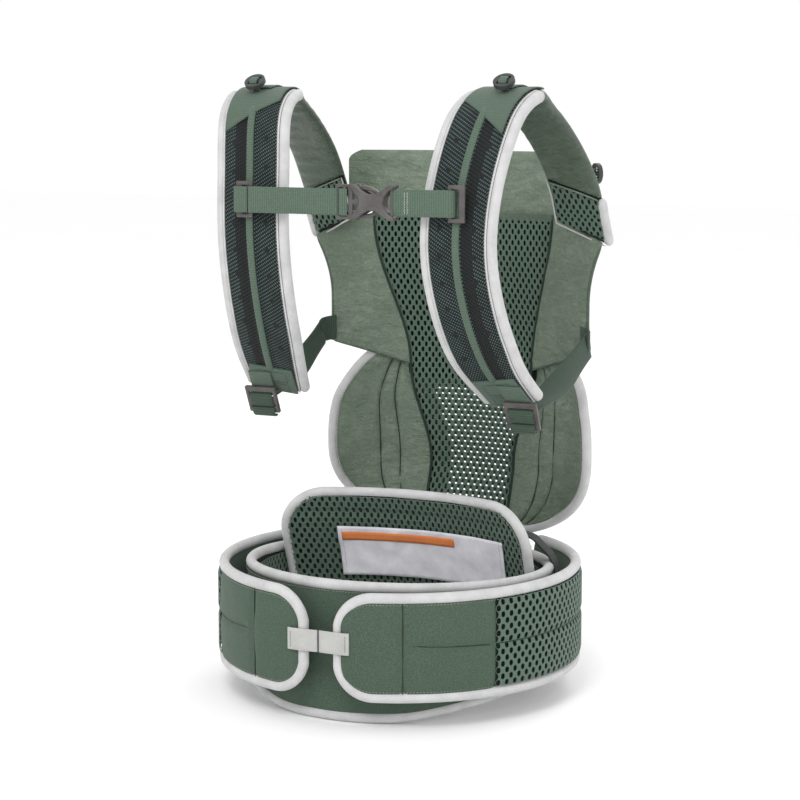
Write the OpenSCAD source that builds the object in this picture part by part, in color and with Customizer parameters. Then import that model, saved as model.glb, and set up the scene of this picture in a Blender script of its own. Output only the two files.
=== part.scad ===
// Soft baby carrier: padded waist belt, child panel with a seat, fold-back
// headrest, two shoulder straps and a chest strap with a side-release buckle.
// Frame: +X to the right, +Y towards the child panel, +Z up, floor at Z = 0,
// origin in the middle of the footprint. Millimetres.

/* [Belt] */
// radius of the middle of the inner lumbar band
band_r = 150; // [130:1:180]
// thickness of the inner lumbar band
band_t = 10; // [6:1:16]
// height of the inner lumbar band at its middle
band_h = 125; // [90:1:160]
// radius of the middle of the outer belt wings
wing_r = 177; // [160:1:210]
// thickness of a belt wing
wing_t = 12; // [8:1:18]
// height of a belt wing
wing_h = 95; // [70:1:120]
// height of the wings' lower edge above the floor
wing_z = 33; // [10:1:50]
// half of the angle left open between the wings at the front
wing_gap = 6; // [4:0.5:12]
// half width of the raised belly pad
pad_w = 134; // [110:1:136]
// height of the raised belly pad's upper edge
pad_top = 187; // [150:1:220]

/* [Child panel] */
// half width of the seat at its widest
seat_w = 147; // [120:1:170]
// height of the seat's widest line
seat_mid = 218; // [190:1:250]
// height of the seat's lower edge
seat_low = 130; // [125:1:150]
// depth of the seat behind its side edges
seat_depth = 50; // [20:1:70]
// half width of the panel's upper corners
corner_w = 164; // [140:1:180]
// height of the panel's upper corners
corner_z = 443; // [420:1:460]
// height of the panel's upper edge
panel_top = 466; // [440:1:480]
// height of the headrest's upper edge
headrest_top = 535; // [500:1:560]
// half width of the headrest
headrest_w = 128; // [100:1:130]

/* [Shoulder straps] */
// width of a shoulder strap
strap_w = 68; // [50:1:80]
// thickness of a shoulder strap
strap_t = 13; // [8:1:18]
// width of the tape down the middle of a strap
rail_w = 7; // [4:1:12]

/* [Webbing and plastic parts] */
// radius of the tubular edge binding
binding_r = 4.5; // [3:0.5:6]
// width of the chest and adjuster webbing
web_w = 25; // [20:1:30]
// thickness of the webbing
web_t = 1.6; // [1:0.1:2.5]
// diameter of a hood toggle
toggle_d = 21; // [18:1:24]
// height of the chest strap's middle
chest_z = 493; // [470:1:510]

/* [Hidden] */
y_shift = -4;
band_slope = -0.05;
band_foot = 62;
binding_n = 8;
edge = 2.5;
wing_back = 150;
wing_round = 34;
back_gap = 3;
tab_z = [74, 95];
tab_end = 10;
tab_t = 2;
elastic_a = [112, 147];
elastic_z = [88, 96];
elastic_w = 38;
elastic_t = 2.5;
label_x = [-84, 104];
label_z = [96, 124, 150];
label_t = 0.8;
pad_t = 9;
pad_low = 24;
pad_round = 42;
pad_lean = 0.34;
pad_bow = 44;
pad_edge_y = -10;
panel_t = 6;
panel_edge_y = 139;
panel_overlap = 8;
mesh_top_w = 102;
mesh_mid_w = 70;
mesh_low_w = 48;
mesh_mid_z = 302;
seat_top = 331;
headrest_gap = 2;
headrest_t = 9;
headrest_y = 141;
headrest_bow = 24;
strap_path = [
    [141, 131, 470],
    [141, 112, 502],
    [137, 76, 540],
    [133, 24, 574],
    [130, -28, 592],
    [122, -72, 572],
    [112, -96, 515],
    [108, -104, 455],
    [110, -90, 398],
    [117, -58, 342],
    [129, -14, 300]
];
strap_hinge_s = 3;
sleeve_in = 8;
strap_gap_s = 0.03;
path_end = len(strap_path) - 1;
chest_y = -117;
socket_x = 11;
socket_l = 38;
socket_h = 34;
buckle_t = 11;
cavity_h = 25;
cavity_t = 6;
prong_l = 27;
prong_h = 4.5;
prong_t = 4.6;
plug_x = -12;
plug_l = 19;
toggle_t = 4.5;
toggle_front = [4.4, 5, 11];
toggle_front_turn = [36, 0, 0];
toggle_rear = [1, 19, 11.5];
toggle_rear_turn = [90, 0, -45];
toggle_slot = 3.6;
toggle_slot_y = 4.2;
lock_w = 34;
lock_h = 30;
lock_t = 4;
lock_tilt = 25;
lock_s = 9.7;
lock_out = 16;
lock_drop = 4;
adjuster_end = [151, 131, 336];
adjuster_sag = 9;
rail_s = [5.15, 9.3];
patch_top_s = [3.5, 5.1];
patch_low_s = [9.32, path_end];
sling_s = 3.25;
sling_end = 4.14;
ribbon_t = 1.4;
sewn_gap = 0.5;
slider_x = 111;
slider_size = [17, 3.5, 35];
web_end = 108;
cut = 10;

// ---- vector and path functions -------------------------------------------
function lerp(a, b, t) = a + (b - a) * t;
function clamp(v, lo, hi) = max(lo, min(hi, v));
function smooth(t) = let (u = clamp(t, 0, 1)) u * u * (3 - 2 * u);
function unit(v) = v / norm(v);
function at(list, i) = list[clamp(i, 0, len(list) - 1)];
// point at parameter s of the smooth curve through the points p
function curve(p, s) =
    let (i = min(floor(s), len(p) - 2), t = s - i,
         a = at(p, i - 1), b = at(p, i), c = at(p, i + 1), d = at(p, i + 2))
    0.5 * (2 * b + (c - a) * t + (2 * a - 5 * b + 4 * c - d) * t * t
        + (3 * b - a - 3 * c + d) * t * t * t);
// unit tangents of a polyline
function tangents(p, closed) =
    let (n = len(p))
    [for (i = [0 : n - 1])
        unit(closed ? p[(i + 1) % n] - p[(i + n - 1) % n] : at(p, i + 1) - at(p, i - 1))];
// a point on a circle about the Z axis, with angle 0 at the front
function ring_point(r, a, z) = [r * sin(a), -r * cos(a), z];

// ---- solids from rings ---------------------------------------------------
// skins a list of rings; in each ring the first half runs against the second
module loft(rings, closed = false) {
    n = len(rings[0]);
    m = len(rings);
    last = closed ? m - 1 : m - 2;
    sides = [for (i = [0 : last]) for (j = [0 : n - 1])
        let (a = i * n + j, b = i * n + (j + 1) % n,
             c = ((i + 1) % m) * n + (j + 1) % n, d = ((i + 1) % m) * n + j)
        each [[a, d, c], [a, c, b]]];
    caps = closed ? [] : [for (k = [0 : n / 2 - 2])
        let (p = k, q = k + 1, r = n - 2 - k, s = n - 1 - k, o = (m - 1) * n)
        each [[p, q, r], [p, r, s], [o + p, o + r, o + q], [o + p, o + s, o + r]]];
    polyhedron([for (ring = rings) each ring], concat(sides, caps), convexity = 6);
}

// round tube along a path; w0 sets the roll, or the radius from the Z axis does
module tube(path, r, w0 = [0, 0, 1], radial = false, closed = false) {
    t = tangents(path, closed);
    loft([for (i = [0 : len(path) - 1])
        let (ref = radial ? [path[i].x, path[i].y, 0] : w0,
             n = unit(cross(t[i], ref)), w = cross(n, t[i]))
        [for (j = [0 : binding_n - 1])
            let (a = 360 * (j + 0.5) / binding_n)
            path[i] + r * (w * cos(a) + n * sin(a))]], closed);
}

// band about the Z axis between two radii; low(a) and high(a) are its edges
function band_ring(a, r_in, r_out, lo, hi) =
    let (e = min(edge, (hi - lo) / 2.5))
    [ring_point(r_in + e, a, lo), ring_point(r_in, a, lo + e),
     ring_point(r_in, a, hi - e), ring_point(r_in + e, a, hi),
     ring_point(r_out - e, a, hi), ring_point(r_out, a, hi - e),
     ring_point(r_out, a, lo + e), ring_point(r_out - e, a, lo)];

// row of a curved sheet: front points left to right, back points right to left
function sheet_row(front, t) =
    let (n = len(front))
    concat(front, [for (i = [n - 1 : -1 : 0]) front[i] + [0, t, 0]]);

module both_sides(left) {
    mirror([left ? 1 : 0, 0, 0]) children();
}

// ---- belt ----------------------------------------------------------------
function band_top(y) = band_h + band_slope * y;
function band_low(x) = 0.22 * max(0, abs(x) - band_foot);

module lumbar_band() {
    outer = band_r + band_t / 2;
    inner = band_r - band_t / 2;
    difference() {
        cylinder(h = band_h + 2 * cut, r = outer, $fn = 96);
        translate([0, 0, -cut]) cylinder(h = band_h + 4 * cut, r = inner, $fn = 96);
        translate([0, 0, band_h]) rotate([atan(band_slope), 0, 0])
            translate([-outer - cut, -outer - cut, 0])
                cube([2 * (outer + cut), 2 * (outer + cut), 6 * cut]);
        for (side = [-1, 1]) rotate([90, 0, 0])
            linear_extrude(height = 2 * (outer + cut), center = true)
                polygon([[side * band_foot, -1], [side * band_foot, 0],
                    [side * (outer + cut), band_low(outer + cut)], [side * (outer + cut), -1]]);
    }
}

module band_binding_top() {
    tube([for (a = [0 : 6 : 354])
        let (p = ring_point(band_r, a, 0)) [p.x, p.y, band_top(p.y)]],
        binding_r, radial = true, closed = true);
}

module band_binding_bottom(side) {
    rise = binding_r + 0.5;
    tube([for (a = [side * 90 - 58 : 6 : side * 90 + 58])
        let (p = ring_point(band_r, a, 0)) [p.x, p.y, band_low(p.x) + rise]],
        binding_r, radial = true);
}

function wing_half(a) =
    let (s = (a - wing_gap) * PI / 180 * wing_r, u = clamp(1 - s / wing_round, 0, 1))
    wing_h / 2 - wing_round * (1 - sqrt(1 - u * u * 0.96));
function wing_angles() = concat([wing_gap, wing_gap + 0.7, wing_gap + 2, wing_gap + 4,
    wing_gap + 7.5, wing_gap + 11], [for (a = [24 : 9 : wing_back]) a]);

module wing(left) {
    mid = wing_z + wing_h / 2;
    both_sides(left) loft([for (a = wing_angles())
        band_ring(a, wing_r - wing_t / 2, wing_r + wing_t / 2,
            mid - wing_half(a), mid + wing_half(a))]);
}

module wing_binding(left) {
    mid = wing_z + wing_h / 2;
    angles = wing_angles();
    n = len(angles);
    top = [for (i = [n - 1 : -1 : 0]) ring_point(wing_r, angles[i], mid + wing_half(angles[i]))];
    low = [for (i = [0 : n - 1]) ring_point(wing_r, angles[i], mid - wing_half(angles[i]))];
    both_sides(left) tube(concat(top, low), binding_r, radial = true);
}

module wing_tab(left) {
    both_sides(left) loft([for (a = [0.25, 3, 6, tab_end])
        let (r = wing_r + wing_t / 2 + (a > 5 ? 1.2 : 0.4))
        [ring_point(r, a, tab_z[0]), ring_point(r, a, tab_z[1]),
         ring_point(r + tab_t, a, tab_z[1]), ring_point(r + tab_t, a, tab_z[0])]]);
}

module belt_back() {
    loft([for (a = [wing_back + back_gap : 6 : 360 - wing_back - back_gap])
        band_ring(a, wing_r - wing_t / 2, wing_r + wing_t / 2 - 3, wing_z, wing_z + wing_h - 8)]);
}

module belt_elastic(left) {
    r = band_r + band_t / 2 + 1.5;
    half = elastic_w / 2;
    both_sides(left) loft([for (u = [0 : 0.2 : 1.01])
        let (a = lerp(elastic_a[0], elastic_a[1], u), z = lerp(elastic_z[0], elastic_z[1], u))
        [ring_point(r, a, z - half), ring_point(r, a, z + half),
         ring_point(r + elastic_t, a, z + half), ring_point(r + elastic_t, a, z - half)]]);
}

// half width and front surface of the raised belly pad
function pad_half(z) = pad_w - 34 * smooth((90 - z) / 66)
    - pad_round * (1 - sqrt(1 - pow(clamp((z - pad_top + pad_round) / pad_round, 0, 0.995), 2)));
function pad_y(x, z) = pad_edge_y + pad_bow * (1 - pow(x / pad_w, 2)) + pad_lean * (pad_top - z);
function pad_levels() = concat([for (z = [pad_low : 20 : pad_top - pad_round]) z],
    [for (f = [0.15, 0.4, 0.62, 0.8, 0.92, 1]) pad_top - pad_round * (1 - f)]);

module belly_pad() {
    loft([for (z = pad_levels())
        sheet_row([for (k = [-5 : 5]) let (x = pad_half(z) * k / 5) [x, pad_y(x, z), z]], pad_t)]);
}

module belly_pad_binding() {
    levels = pad_levels();
    n = len(levels);
    side = [for (z = levels) [pad_half(z), pad_y(pad_half(z), z) + pad_t / 2, z]];
    across = [for (k = [3 : -1 : -3])
        let (x = pad_half(pad_top) * k / 4) [x, pad_y(x, pad_top) + pad_t / 2, pad_top]];
    tube(concat(side, across, [for (i = [n - 1 : -1 : 0]) [-side[i].x, side[i].y, side[i].z]]),
        binding_r, w0 = [0, 1, 0]);
}

module care_label() {
    loft([for (z = label_z)
        sheet_row([for (u = [0 : 1 / 9 : 1.01])
            let (x = lerp(label_x[0], label_x[1], u)) [x, pad_y(x, z) - 3 * label_t, z]],
            label_t)]);
}

// ---- child panel ---------------------------------------------------------
// half widths of the outline, of the centre mesh and of the seat
function panel_half(z) = 147 + (corner_w - 147) * pow(clamp((z - 378) / (corner_z - 378), 0, 1), 2)
    + 4 * pow(clamp((362 - z) / 34, 0, 1), 2);
function mesh_half(z) = z > mesh_mid_z
    ? lerp(mesh_mid_w, mesh_top_w, smooth((z - mesh_mid_z) / (panel_top - mesh_mid_z)))
    : lerp(mesh_low_w, mesh_mid_w, smooth((z - 200) / (mesh_mid_z - 200)));
function oval(u, p) = pow(max(0, 1 - pow(abs(u), p)), 1 / p);
function seat_half(z) = seat_w * (z > seat_mid
    ? oval((z - seat_mid) / 125, 2.6) : oval((seat_mid - z) / (seat_mid - seat_low + 2), 2.4));
// front surface of the panel: it bows away from the wearer, most at the seat
function bow(z) = lerp(26, seat_depth, smooth((corner_z - z) / 130))
    * lerp(0.4, 1, smooth((z - seat_low) / 70));
function panel_y(x, z) = panel_edge_y + 8 * smooth((190 - z) / 60)
    + bow(z) * (1 - pow(clamp(abs(x) / seat_w, 0, 1.1), 2));
function side_low(u) = lerp(mesh_mid_z, 330, u);
function side_top(u) = panel_top - (panel_top - corner_z) * pow(u, 1.5);

module panel_side(left) {
    both_sides(left) loft([for (v = [0 : 1 / 9 : 1.01])
        sheet_row([for (u = [0 : 0.25 : 1])
            let (z = lerp(side_low(u), side_top(u), v), x = lerp(mesh_half(z), panel_half(z), u))
            [x, panel_y(x, z), z]], panel_t)]);
}

module panel_mesh() {
    loft([for (z = [seat_low + 4, 150, 170, 190, 215, 240, 265, 290, 315, 340, 365, 390, 415,
            440, panel_top])
        sheet_row([for (k = [-4 : 4]) let (x = mesh_half(z) * k / 4) [x, panel_y(x, z), z]],
            panel_t)]);
}

function seat_levels() = [seat_low + 2, 136, 143, 152, 164, 180, 200, 225, 250, 272, 292, 306,
    318, seat_top];
function seat_back(z) = panel_overlap * smooth((z - 262) / 34);

module seat_side(left) {
    both_sides(left) loft([for (z = seat_levels())
        sheet_row([for (u = [0 : 0.25 : 1])
            let (x = lerp(min(mesh_half(z), seat_half(z) - 4), seat_half(z), u))
            [x, panel_y(x, z) + seat_back(z), z]], panel_t - 1)]);
}

module seat_binding() {
    levels = seat_levels();
    n = len(levels);
    side = [for (z = levels) let (x = seat_half(z))
        [x, panel_y(x, z) + seat_back(z) + panel_t / 2, z]];
    tube(concat([for (i = [n - 1 : -1 : 0]) [-side[i].x, side[i].y, side[i].z]], side),
        binding_r, w0 = [0, 1, 0]);
}

module headrest() {
    low = panel_top + headrest_gap;
    high = headrest_top;
    loft([for (v = [0, 0.12, 0.35, 0.6, 0.85, 0.96, 1])
        let (z = lerp(low, high, v),
             half = headrest_w - 12 * pow(clamp((v - 0.8) / 0.2, 0, 1), 2))
        sheet_row([for (k = [-5 : 5]) let (x = half * k / 5)
            [x, headrest_y + headrest_bow * (1 - pow(x / headrest_w, 2)), z]],
            headrest_t * (v > 0.98 ? 0.6 : 1))]);
}

// ---- shoulder straps -----------------------------------------------------
// position and the directions across and out of the strap at parameter s
function strap_frame(s) =
    let (t = unit(curve(strap_path, min(s + 0.02, path_end))
            - curve(strap_path, max(s - 0.02, 0))),
         n = unit(cross(t, [1, 0, 0])))
    [curve(strap_path, s), cross(n, t), n];
function strap_point(s, w, n) = let (f = strap_frame(s)) f[0] + w * f[1] + n * f[2];
function strap_steps(s0, s1, step) =
    let (count = max(1, ceil((s1 - s0) / step)))
    [for (i = [0 : count]) lerp(s0, s1, i / count)];
function strap_half(s) = strap_w / 2 - 5 * smooth((s - 8.6) / 1.4) - sleeve_in * smooth(4.2 - s);

// ribbon that follows the strap between two parameters
module strap_ribbon(s0, s1, w, width, n, thick, step = 0.2) {
    loft([for (s = strap_steps(s0, s1, step))
        [strap_point(s, w + width / 2, n), strap_point(s, w + width / 2, n + thick),
         strap_point(s, w - width / 2, n + thick), strap_point(s, w - width / 2, n)]]);
}

module strap_body(s0, s1, step = 0.35) {
    loft([for (s = strap_steps(s0, s1, step))
        let (h = strap_half(s), t = strap_t / 2)
        [strap_point(s, h - edge, -t), strap_point(s, h, -t + edge),
         strap_point(s, h, t - edge), strap_point(s, h - edge, t),
         strap_point(s, edge - h, t), strap_point(s, -h, t - edge),
         strap_point(s, -h, edge - t), strap_point(s, edge - h, -t)]]);
}

module strap_edges(s0, s1, step = 0.35) {
    for (side = [-1, 1])
        tube([for (s = strap_steps(s0, s1, step)) strap_point(s, side * strap_half(s), 0)],
            binding_r, w0 = [1, 0, 0.01]);
}

module strap_pad(left) {
    both_sides(left) strap_body(strap_hinge_s + strap_gap_s, path_end);
}
module strap_binding(left) {
    both_sides(left) strap_edges(strap_hinge_s + strap_gap_s, path_end);
}
module sleeve(left) {
    both_sides(left) strap_body(0, strap_hinge_s - strap_gap_s);
}
module sleeve_binding(left) {
    both_sides(left) strap_edges(0, strap_hinge_s - strap_gap_s);
}
module strap_rail(left) {
    both_sides(left) strap_ribbon(rail_s[0], rail_s[1], 0, rail_w, strap_t / 2 + 0.2, 1.6);
}
module patch_top(left) {
    both_sides(left) strap_ribbon(patch_top_s[0], patch_top_s[1], 0, strap_w - 14,
        strap_t / 2 + sewn_gap, ribbon_t, step = 0.1);
}
module patch_bottom(left) {
    both_sides(left) strap_ribbon(patch_low_s[0], patch_low_s[1], 0, strap_w - 22,
        strap_t / 2 + sewn_gap, ribbon_t, step = 0.1);
}
module sling(left) {
    both_sides(left) strap_ribbon(sling_s, sling_end, 0, 20,
        strap_t / 2 + sewn_gap + ribbon_t + 0.6, ribbon_t, step = 0.1);
}

// ---- plastic parts -------------------------------------------------------
module toggle_disc() {
    difference() {
        cylinder(h = toggle_t, d = toggle_d, center = true, $fn = 64);
        for (side = [-1, 1]) translate([0, side * toggle_slot_y, 0])
            cube([toggle_d * 0.55, toggle_slot, toggle_t + 2], center = true);
    }
}

// at holds the strap parameter, the way across and the way out of the strap
module toggle(left, at, turn) {
    p = strap_point(at[0], at[1], strap_t / 2 + at[2]);
    both_sides(left) translate(p) rotate(turn) toggle_disc();
}

// the bar that a ladder lock turns about, and the middle of the lock
function lock_pivot() = strap_point(lock_s, lock_out, strap_t / 2 + 4);
function lock_middle() = lock_pivot()
    + (lock_h / 2 + lock_drop) * [0, sin(lock_tilt), -cos(lock_tilt)];

module ladder_lock(left) {
    both_sides(left) translate(lock_middle()) rotate([lock_tilt, 0, 0])
        rotate([90, 0, 0]) linear_extrude(height = lock_t, center = true) difference() {
            translate([-lock_w / 2, -lock_h / 2]) square([lock_w, lock_h]);
            for (z = [-8, 6]) translate([0, z]) square([web_w + 1.5, 6], center = true);
        }
}

module adjuster(left) {
    start = lock_middle() + [0, 5, 1];
    end = adjuster_end - [0, 3, 0];
    path = [start, lerp(start, end, 0.5) - [0, 0, adjuster_sag], end];
    half = [web_w / 2, 0, 0];
    rise = [0, 0, web_t / 2];
    both_sides(left) loft([for (s = [0 : 0.25 : 2])
        let (q = curve(path, s)) [q + half - rise, q + half + rise, q - half + rise, q - half - rise]]);
}

module anchor_web(left) {
    both_sides(left) translate(adjuster_end + [0, 3, 0])
        cube([web_w + 4, 6, 22], center = true);
}

module chest_slider(left) {
    both_sides(left) translate([slider_x, chest_y + 2, chest_z]) difference() {
        cube(slider_size, center = true);
        translate([-1, 0, 0]) cube([7, 5, web_w + 1.5], center = true);
    }
}

module chest_web_right() {
    x0 = socket_x + socket_l + 1;
    translate([x0, chest_y - web_t / 2 - 1.2, chest_z - web_w / 2])
        cube([web_end - x0, web_t, web_w]);
}

module chest_web_left() {
    translate([-web_end, chest_y - web_t / 2 - 1.2, chest_z - web_w / 2])
        cube([web_end + plug_x - 0.5, web_t, web_w]);
}

module buckle_socket() {
    half = socket_h / 2;
    x1 = socket_x + socket_l;
    translate([0, chest_y, chest_z]) difference() {
        rotate([90, 0, 0]) linear_extrude(height = buckle_t, center = true)
            polygon([[socket_x, -half], [socket_x + 7, -half], [socket_x + 17, -half + 5],
                [x1 - 8, -half + 2], [x1, -half], [x1, half], [x1 - 8, half - 2],
                [socket_x + 17, half - 5], [socket_x + 7, half], [socket_x, half]]);
        translate([socket_x - 1, -cavity_t / 2, -cavity_h / 2])
            cube([prong_l + 2, cavity_t, cavity_h]);
        translate([socket_x + 6, -buckle_t, -5]) cube([12, buckle_t, 10]);
    }
}

module buckle_plug() {
    translate([0, chest_y, chest_z]) {
        difference() {
            translate([plug_x, -buckle_t / 2, -socket_h / 2 + 1])
                cube([plug_l, buckle_t, socket_h - 2]);
            translate([plug_x + 4, -buckle_t, -web_w / 2 - 0.7])
                cube([4, 2 * buckle_t, web_w + 1.4]);
        }
        translate([plug_x + plug_l - 1, -prong_t / 2, -2.5]) cube([prong_l - 3, prong_t, 5]);
    }
}

module buckle_prong(side) {
    translate([plug_x + plug_l + 0.4, chest_y - prong_t / 2,
        chest_z + side * (cavity_h / 2 - 0.6 - prong_h / 2) - prong_h / 2])
        cube([prong_l, prong_t, prong_h]);
}

// ---- colours -------------------------------------------------------------
sage = [0.37, 0.44, 0.37];
forest = [0.25, 0.36, 0.29];
web_green = [0.35, 0.46, 0.37];
piping = [0.78, 0.77, 0.74];
black = [0.09, 0.10, 0.10];
plastic = [0.29, 0.28, 0.27];
white = [0.92, 0.92, 0.91];

module place(tint) {
    color(tint) translate([0, y_shift, 0]) children();
}

place(forest) lumbar_band();
place(piping) band_binding_top();
place(piping) band_binding_bottom(-1);  // band_binding_left
place(piping) band_binding_bottom(1);  // band_binding_right
place(forest) belly_pad();
place(piping) belly_pad_binding();
place(white) care_label();
place(forest) belt_back();
place(black) belt_elastic(true);  // belt_elastic_left
place(black) belt_elastic(false);  // belt_elastic_right
place(forest) wing(true);  // wing_left
place(forest) wing(false);  // wing_right
place(piping) wing_binding(true);  // wing_binding_left
place(piping) wing_binding(false);  // wing_binding_right
place(piping) wing_tab(true);  // wing_tab_left
place(piping) wing_tab(false);  // wing_tab_right
place(sage) panel_side(true);  // panel_left
place(sage) panel_side(false);  // panel_right
place(forest) panel_mesh();
place(sage) seat_side(true);  // seat_left
place(sage) seat_side(false);  // seat_right
place(piping) seat_binding();
place(sage) headrest();
place(sage) sleeve(true);  // sleeve_left
place(sage) sleeve(false);  // sleeve_right
place(piping) sleeve_binding(true);  // sleeve_binding_left
place(piping) sleeve_binding(false);  // sleeve_binding_right
place(web_green) anchor_web(true);  // anchor_web_left
place(web_green) anchor_web(false);  // anchor_web_right
place(black) strap_pad(true);  // strap_pad_left
place(black) strap_pad(false);  // strap_pad_right
place(piping) strap_binding(true);  // strap_binding_left
place(piping) strap_binding(false);  // strap_binding_right
place(web_green) strap_rail(true);  // strap_rail_left
place(web_green) strap_rail(false);  // strap_rail_right
place(web_green) patch_top(true);  // patch_top_left
place(web_green) patch_top(false);  // patch_top_right
place(web_green) patch_bottom(true);  // patch_bottom_left
place(web_green) patch_bottom(false);  // patch_bottom_right
place(web_green) sling(true);  // sling_left
place(web_green) sling(false);  // sling_right
place(web_green) adjuster(true);  // adjuster_left
place(web_green) adjuster(false);  // adjuster_right
place(plastic) ladder_lock(true);  // ladder_lock_left
place(plastic) ladder_lock(false);  // ladder_lock_right
place(plastic) toggle(true, toggle_front, toggle_front_turn);  // toggle_front_left
place(plastic) toggle(false, toggle_front, toggle_front_turn);  // toggle_front_right
place(plastic) toggle(true, toggle_rear, toggle_rear_turn);  // toggle_rear_left
place(plastic) toggle(false, toggle_rear, toggle_rear_turn);  // toggle_rear_right
place(plastic) chest_slider(true);  // chest_slider_left
place(plastic) chest_slider(false);  // chest_slider_right
place(web_green) chest_web_left();
place(web_green) chest_web_right();
place(plastic) buckle_socket();
place(plastic) buckle_plug();
place(plastic) buckle_prong(1);  // buckle_prong_upper
place(plastic) buckle_prong(-1);  // buckle_prong_lower
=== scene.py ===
"""Soft baby carrier: fabric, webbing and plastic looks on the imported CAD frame.
Shapes are worked out in millimetres in the belt's own frame: +X right, +Y towards
the child panel, +Z up, with Z = 0 at the floor. to_row() brings them to the row."""

import math

import bmesh
import bpy
import numpy as np
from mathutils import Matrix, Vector


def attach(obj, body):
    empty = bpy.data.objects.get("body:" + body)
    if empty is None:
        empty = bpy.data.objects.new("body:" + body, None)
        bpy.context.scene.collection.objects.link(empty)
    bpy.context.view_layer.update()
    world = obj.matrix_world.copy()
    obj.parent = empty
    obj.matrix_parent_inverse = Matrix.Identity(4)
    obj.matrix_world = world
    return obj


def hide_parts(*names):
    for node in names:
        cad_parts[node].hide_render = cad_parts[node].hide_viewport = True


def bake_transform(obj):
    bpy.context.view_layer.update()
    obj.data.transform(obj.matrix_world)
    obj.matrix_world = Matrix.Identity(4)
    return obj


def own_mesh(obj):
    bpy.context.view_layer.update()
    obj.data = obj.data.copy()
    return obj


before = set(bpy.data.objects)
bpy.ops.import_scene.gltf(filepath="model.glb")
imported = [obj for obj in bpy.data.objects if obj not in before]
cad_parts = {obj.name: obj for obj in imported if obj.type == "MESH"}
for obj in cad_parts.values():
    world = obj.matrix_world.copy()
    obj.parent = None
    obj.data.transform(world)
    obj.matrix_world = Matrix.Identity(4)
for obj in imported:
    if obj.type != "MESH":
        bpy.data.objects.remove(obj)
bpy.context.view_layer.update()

MM = 0.001
Y_SHIFT = -4.0  # the belt's middle in the row, in mm

# ---- sizes, in mm, as in the CAD source
BAND_R, BAND_H, BAND_SLOPE, BAND_FOOT = 150.0, 125.0, -0.05, 62.0
WING_R, WING_H, WING_Z = 177.0, 95.0, 33.0
WING_GAP, WING_BACK, WING_ROUND = 6.0, 150.0, 34.0
WING_MID = WING_Z + WING_H / 2
PAD_W, PAD_TOP, PAD_LOW, PAD_T, PAD_ROUND = 134.0, 187.0, 24.0, 9.0, 42.0
PAD_EDGE_Y, PAD_BOW, PAD_LEAN = -10.0, 44.0, 0.34
PAD_CREASE = PAD_TOP - 21  # the sewn line below the pad's top edge
LABEL_X, LABEL_Z = (-84.0, 104.0), (96.0, 150.0)
SEAT_W, SEAT_MID, SEAT_LOW, SEAT_TOP, SEAT_DEPTH = 147.0, 218.0, 130.0, 331.0, 50.0
CORNER_W, CORNER_Z, PANEL_TOP, PANEL_EDGE_Y, PANEL_T = 164.0, 443.0, 466.0, 139.0, 6.0
MESH_TOP_W, MESH_MID_W, MESH_LOW_W, MESH_MID_Z = 102.0, 70.0, 48.0, 302.0
SHEER_TOP = 284.0  # below this the mesh can be seen through
SIDE_W, SIDE_LOW, WAIST_Z = 147.0, 330.0, 378.0  # the panel side's width, outer foot and waist
HEAD_LOW, HEAD_TOP, HEAD_W, HEAD_T, HEAD_Y, HEAD_BOW = 468.0, 535.0, 128.0, 9.0, 141.0, 24.0
STRAP_W, STRAP_T = 68.0, 13.0
BIND = 5.2  # radius of the edge binding
WEB_W, WEB_T = 25.0, 1.8
CHEST_Y, CHEST_Z = -117.0, 493.0
STRAP_PATH = np.array([
    [141, 131, 470], [141, 112, 502], [137, 76, 540], [133, 24, 574],
    [130, -28, 592], [122, -72, 572], [112, -96, 515], [108, -104, 455],
    [110, -90, 398], [117, -58, 342], [129, -14, 300]], float)
STRAP_END = len(STRAP_PATH) - 1
HINGE_Y, SHOULDER_Z = 27.4, 580.0  # where the straps bend over the shoulder
ANCHOR = np.array([152.0, 129.0, 339.0])  # where an adjuster is sewn to the panel
HEAD_FOLD_Y = 168.0
SIDES = {"left": -1, "right": 1}


# ---- vector helpers
def to_row(points):
    points = np.asarray(points, float).reshape(-1, 3)
    return (points + [0, Y_SHIFT, 0]) * MM


def row(x, y, z):
    return tuple(to_row([[x, y, z]])[0])


def xyz(x, y, z):
    return np.stack(np.broadcast_arrays(x, y, z), -1).astype(float)


def unit(v):
    return v / np.maximum(np.linalg.norm(v, axis=-1, keepdims=True), 1e-9)


def smooth(t):
    t = np.clip(t, 0, 1)
    return t * t * (3 - 2 * t)


def lerp(a, b, t):
    return a + (b - a) * t


def dome(x, power):
    """1 in the middle of -1 to 1 and 0 at both ends; a higher power keeps it flat for longer."""
    return 1 - np.abs(x) ** power


def bump_at(x, centre, width):
    """1 at centre, falling smoothly to 0 a few widths away."""
    return np.exp(-(((x - centre) / width) ** 2))


def ripple(points, size, seed):
    """Smooth noise about -1 to 1 over points in mm, with folds about size mm across."""
    waves = 7
    rng = np.random.default_rng(seed)
    total = 0
    for _ in range(waves):
        direction = unit(rng.normal(size=3))
        pitch = size * rng.uniform(0.7, 1.6)
        total = total + np.sin((points @ direction) * 2 * math.pi / pitch + rng.uniform(0, 6.3))
    return total / math.sqrt(waves * 2)


def mirrored(points, side):
    points = np.array(points, float)
    points[..., 0] *= side
    return points


def resample(points, count):
    """count points spread evenly over the corners of a path."""
    points = np.asarray(points, float)
    t = np.linspace(0, len(points) - 1, count)
    return np.stack([np.interp(t, range(len(points)), column) for column in points.T], -1)


def relax(path, rounds=1):
    """Rounds off the corners of a path and keeps its ends."""
    for _ in range(rounds):
        path[1:-1] = (path[:-2] + 2 * path[1:-1] + path[2:]) / 4
    return path


def distances(path):
    """The length along a path up to each of its points."""
    return np.concatenate([[0], np.cumsum(np.linalg.norm(np.diff(path, axis=0), axis=1))])


# ---- materials
WAVE_PITCH = 0.314  # Blender's stripes lie this far apart at scale 1


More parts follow.
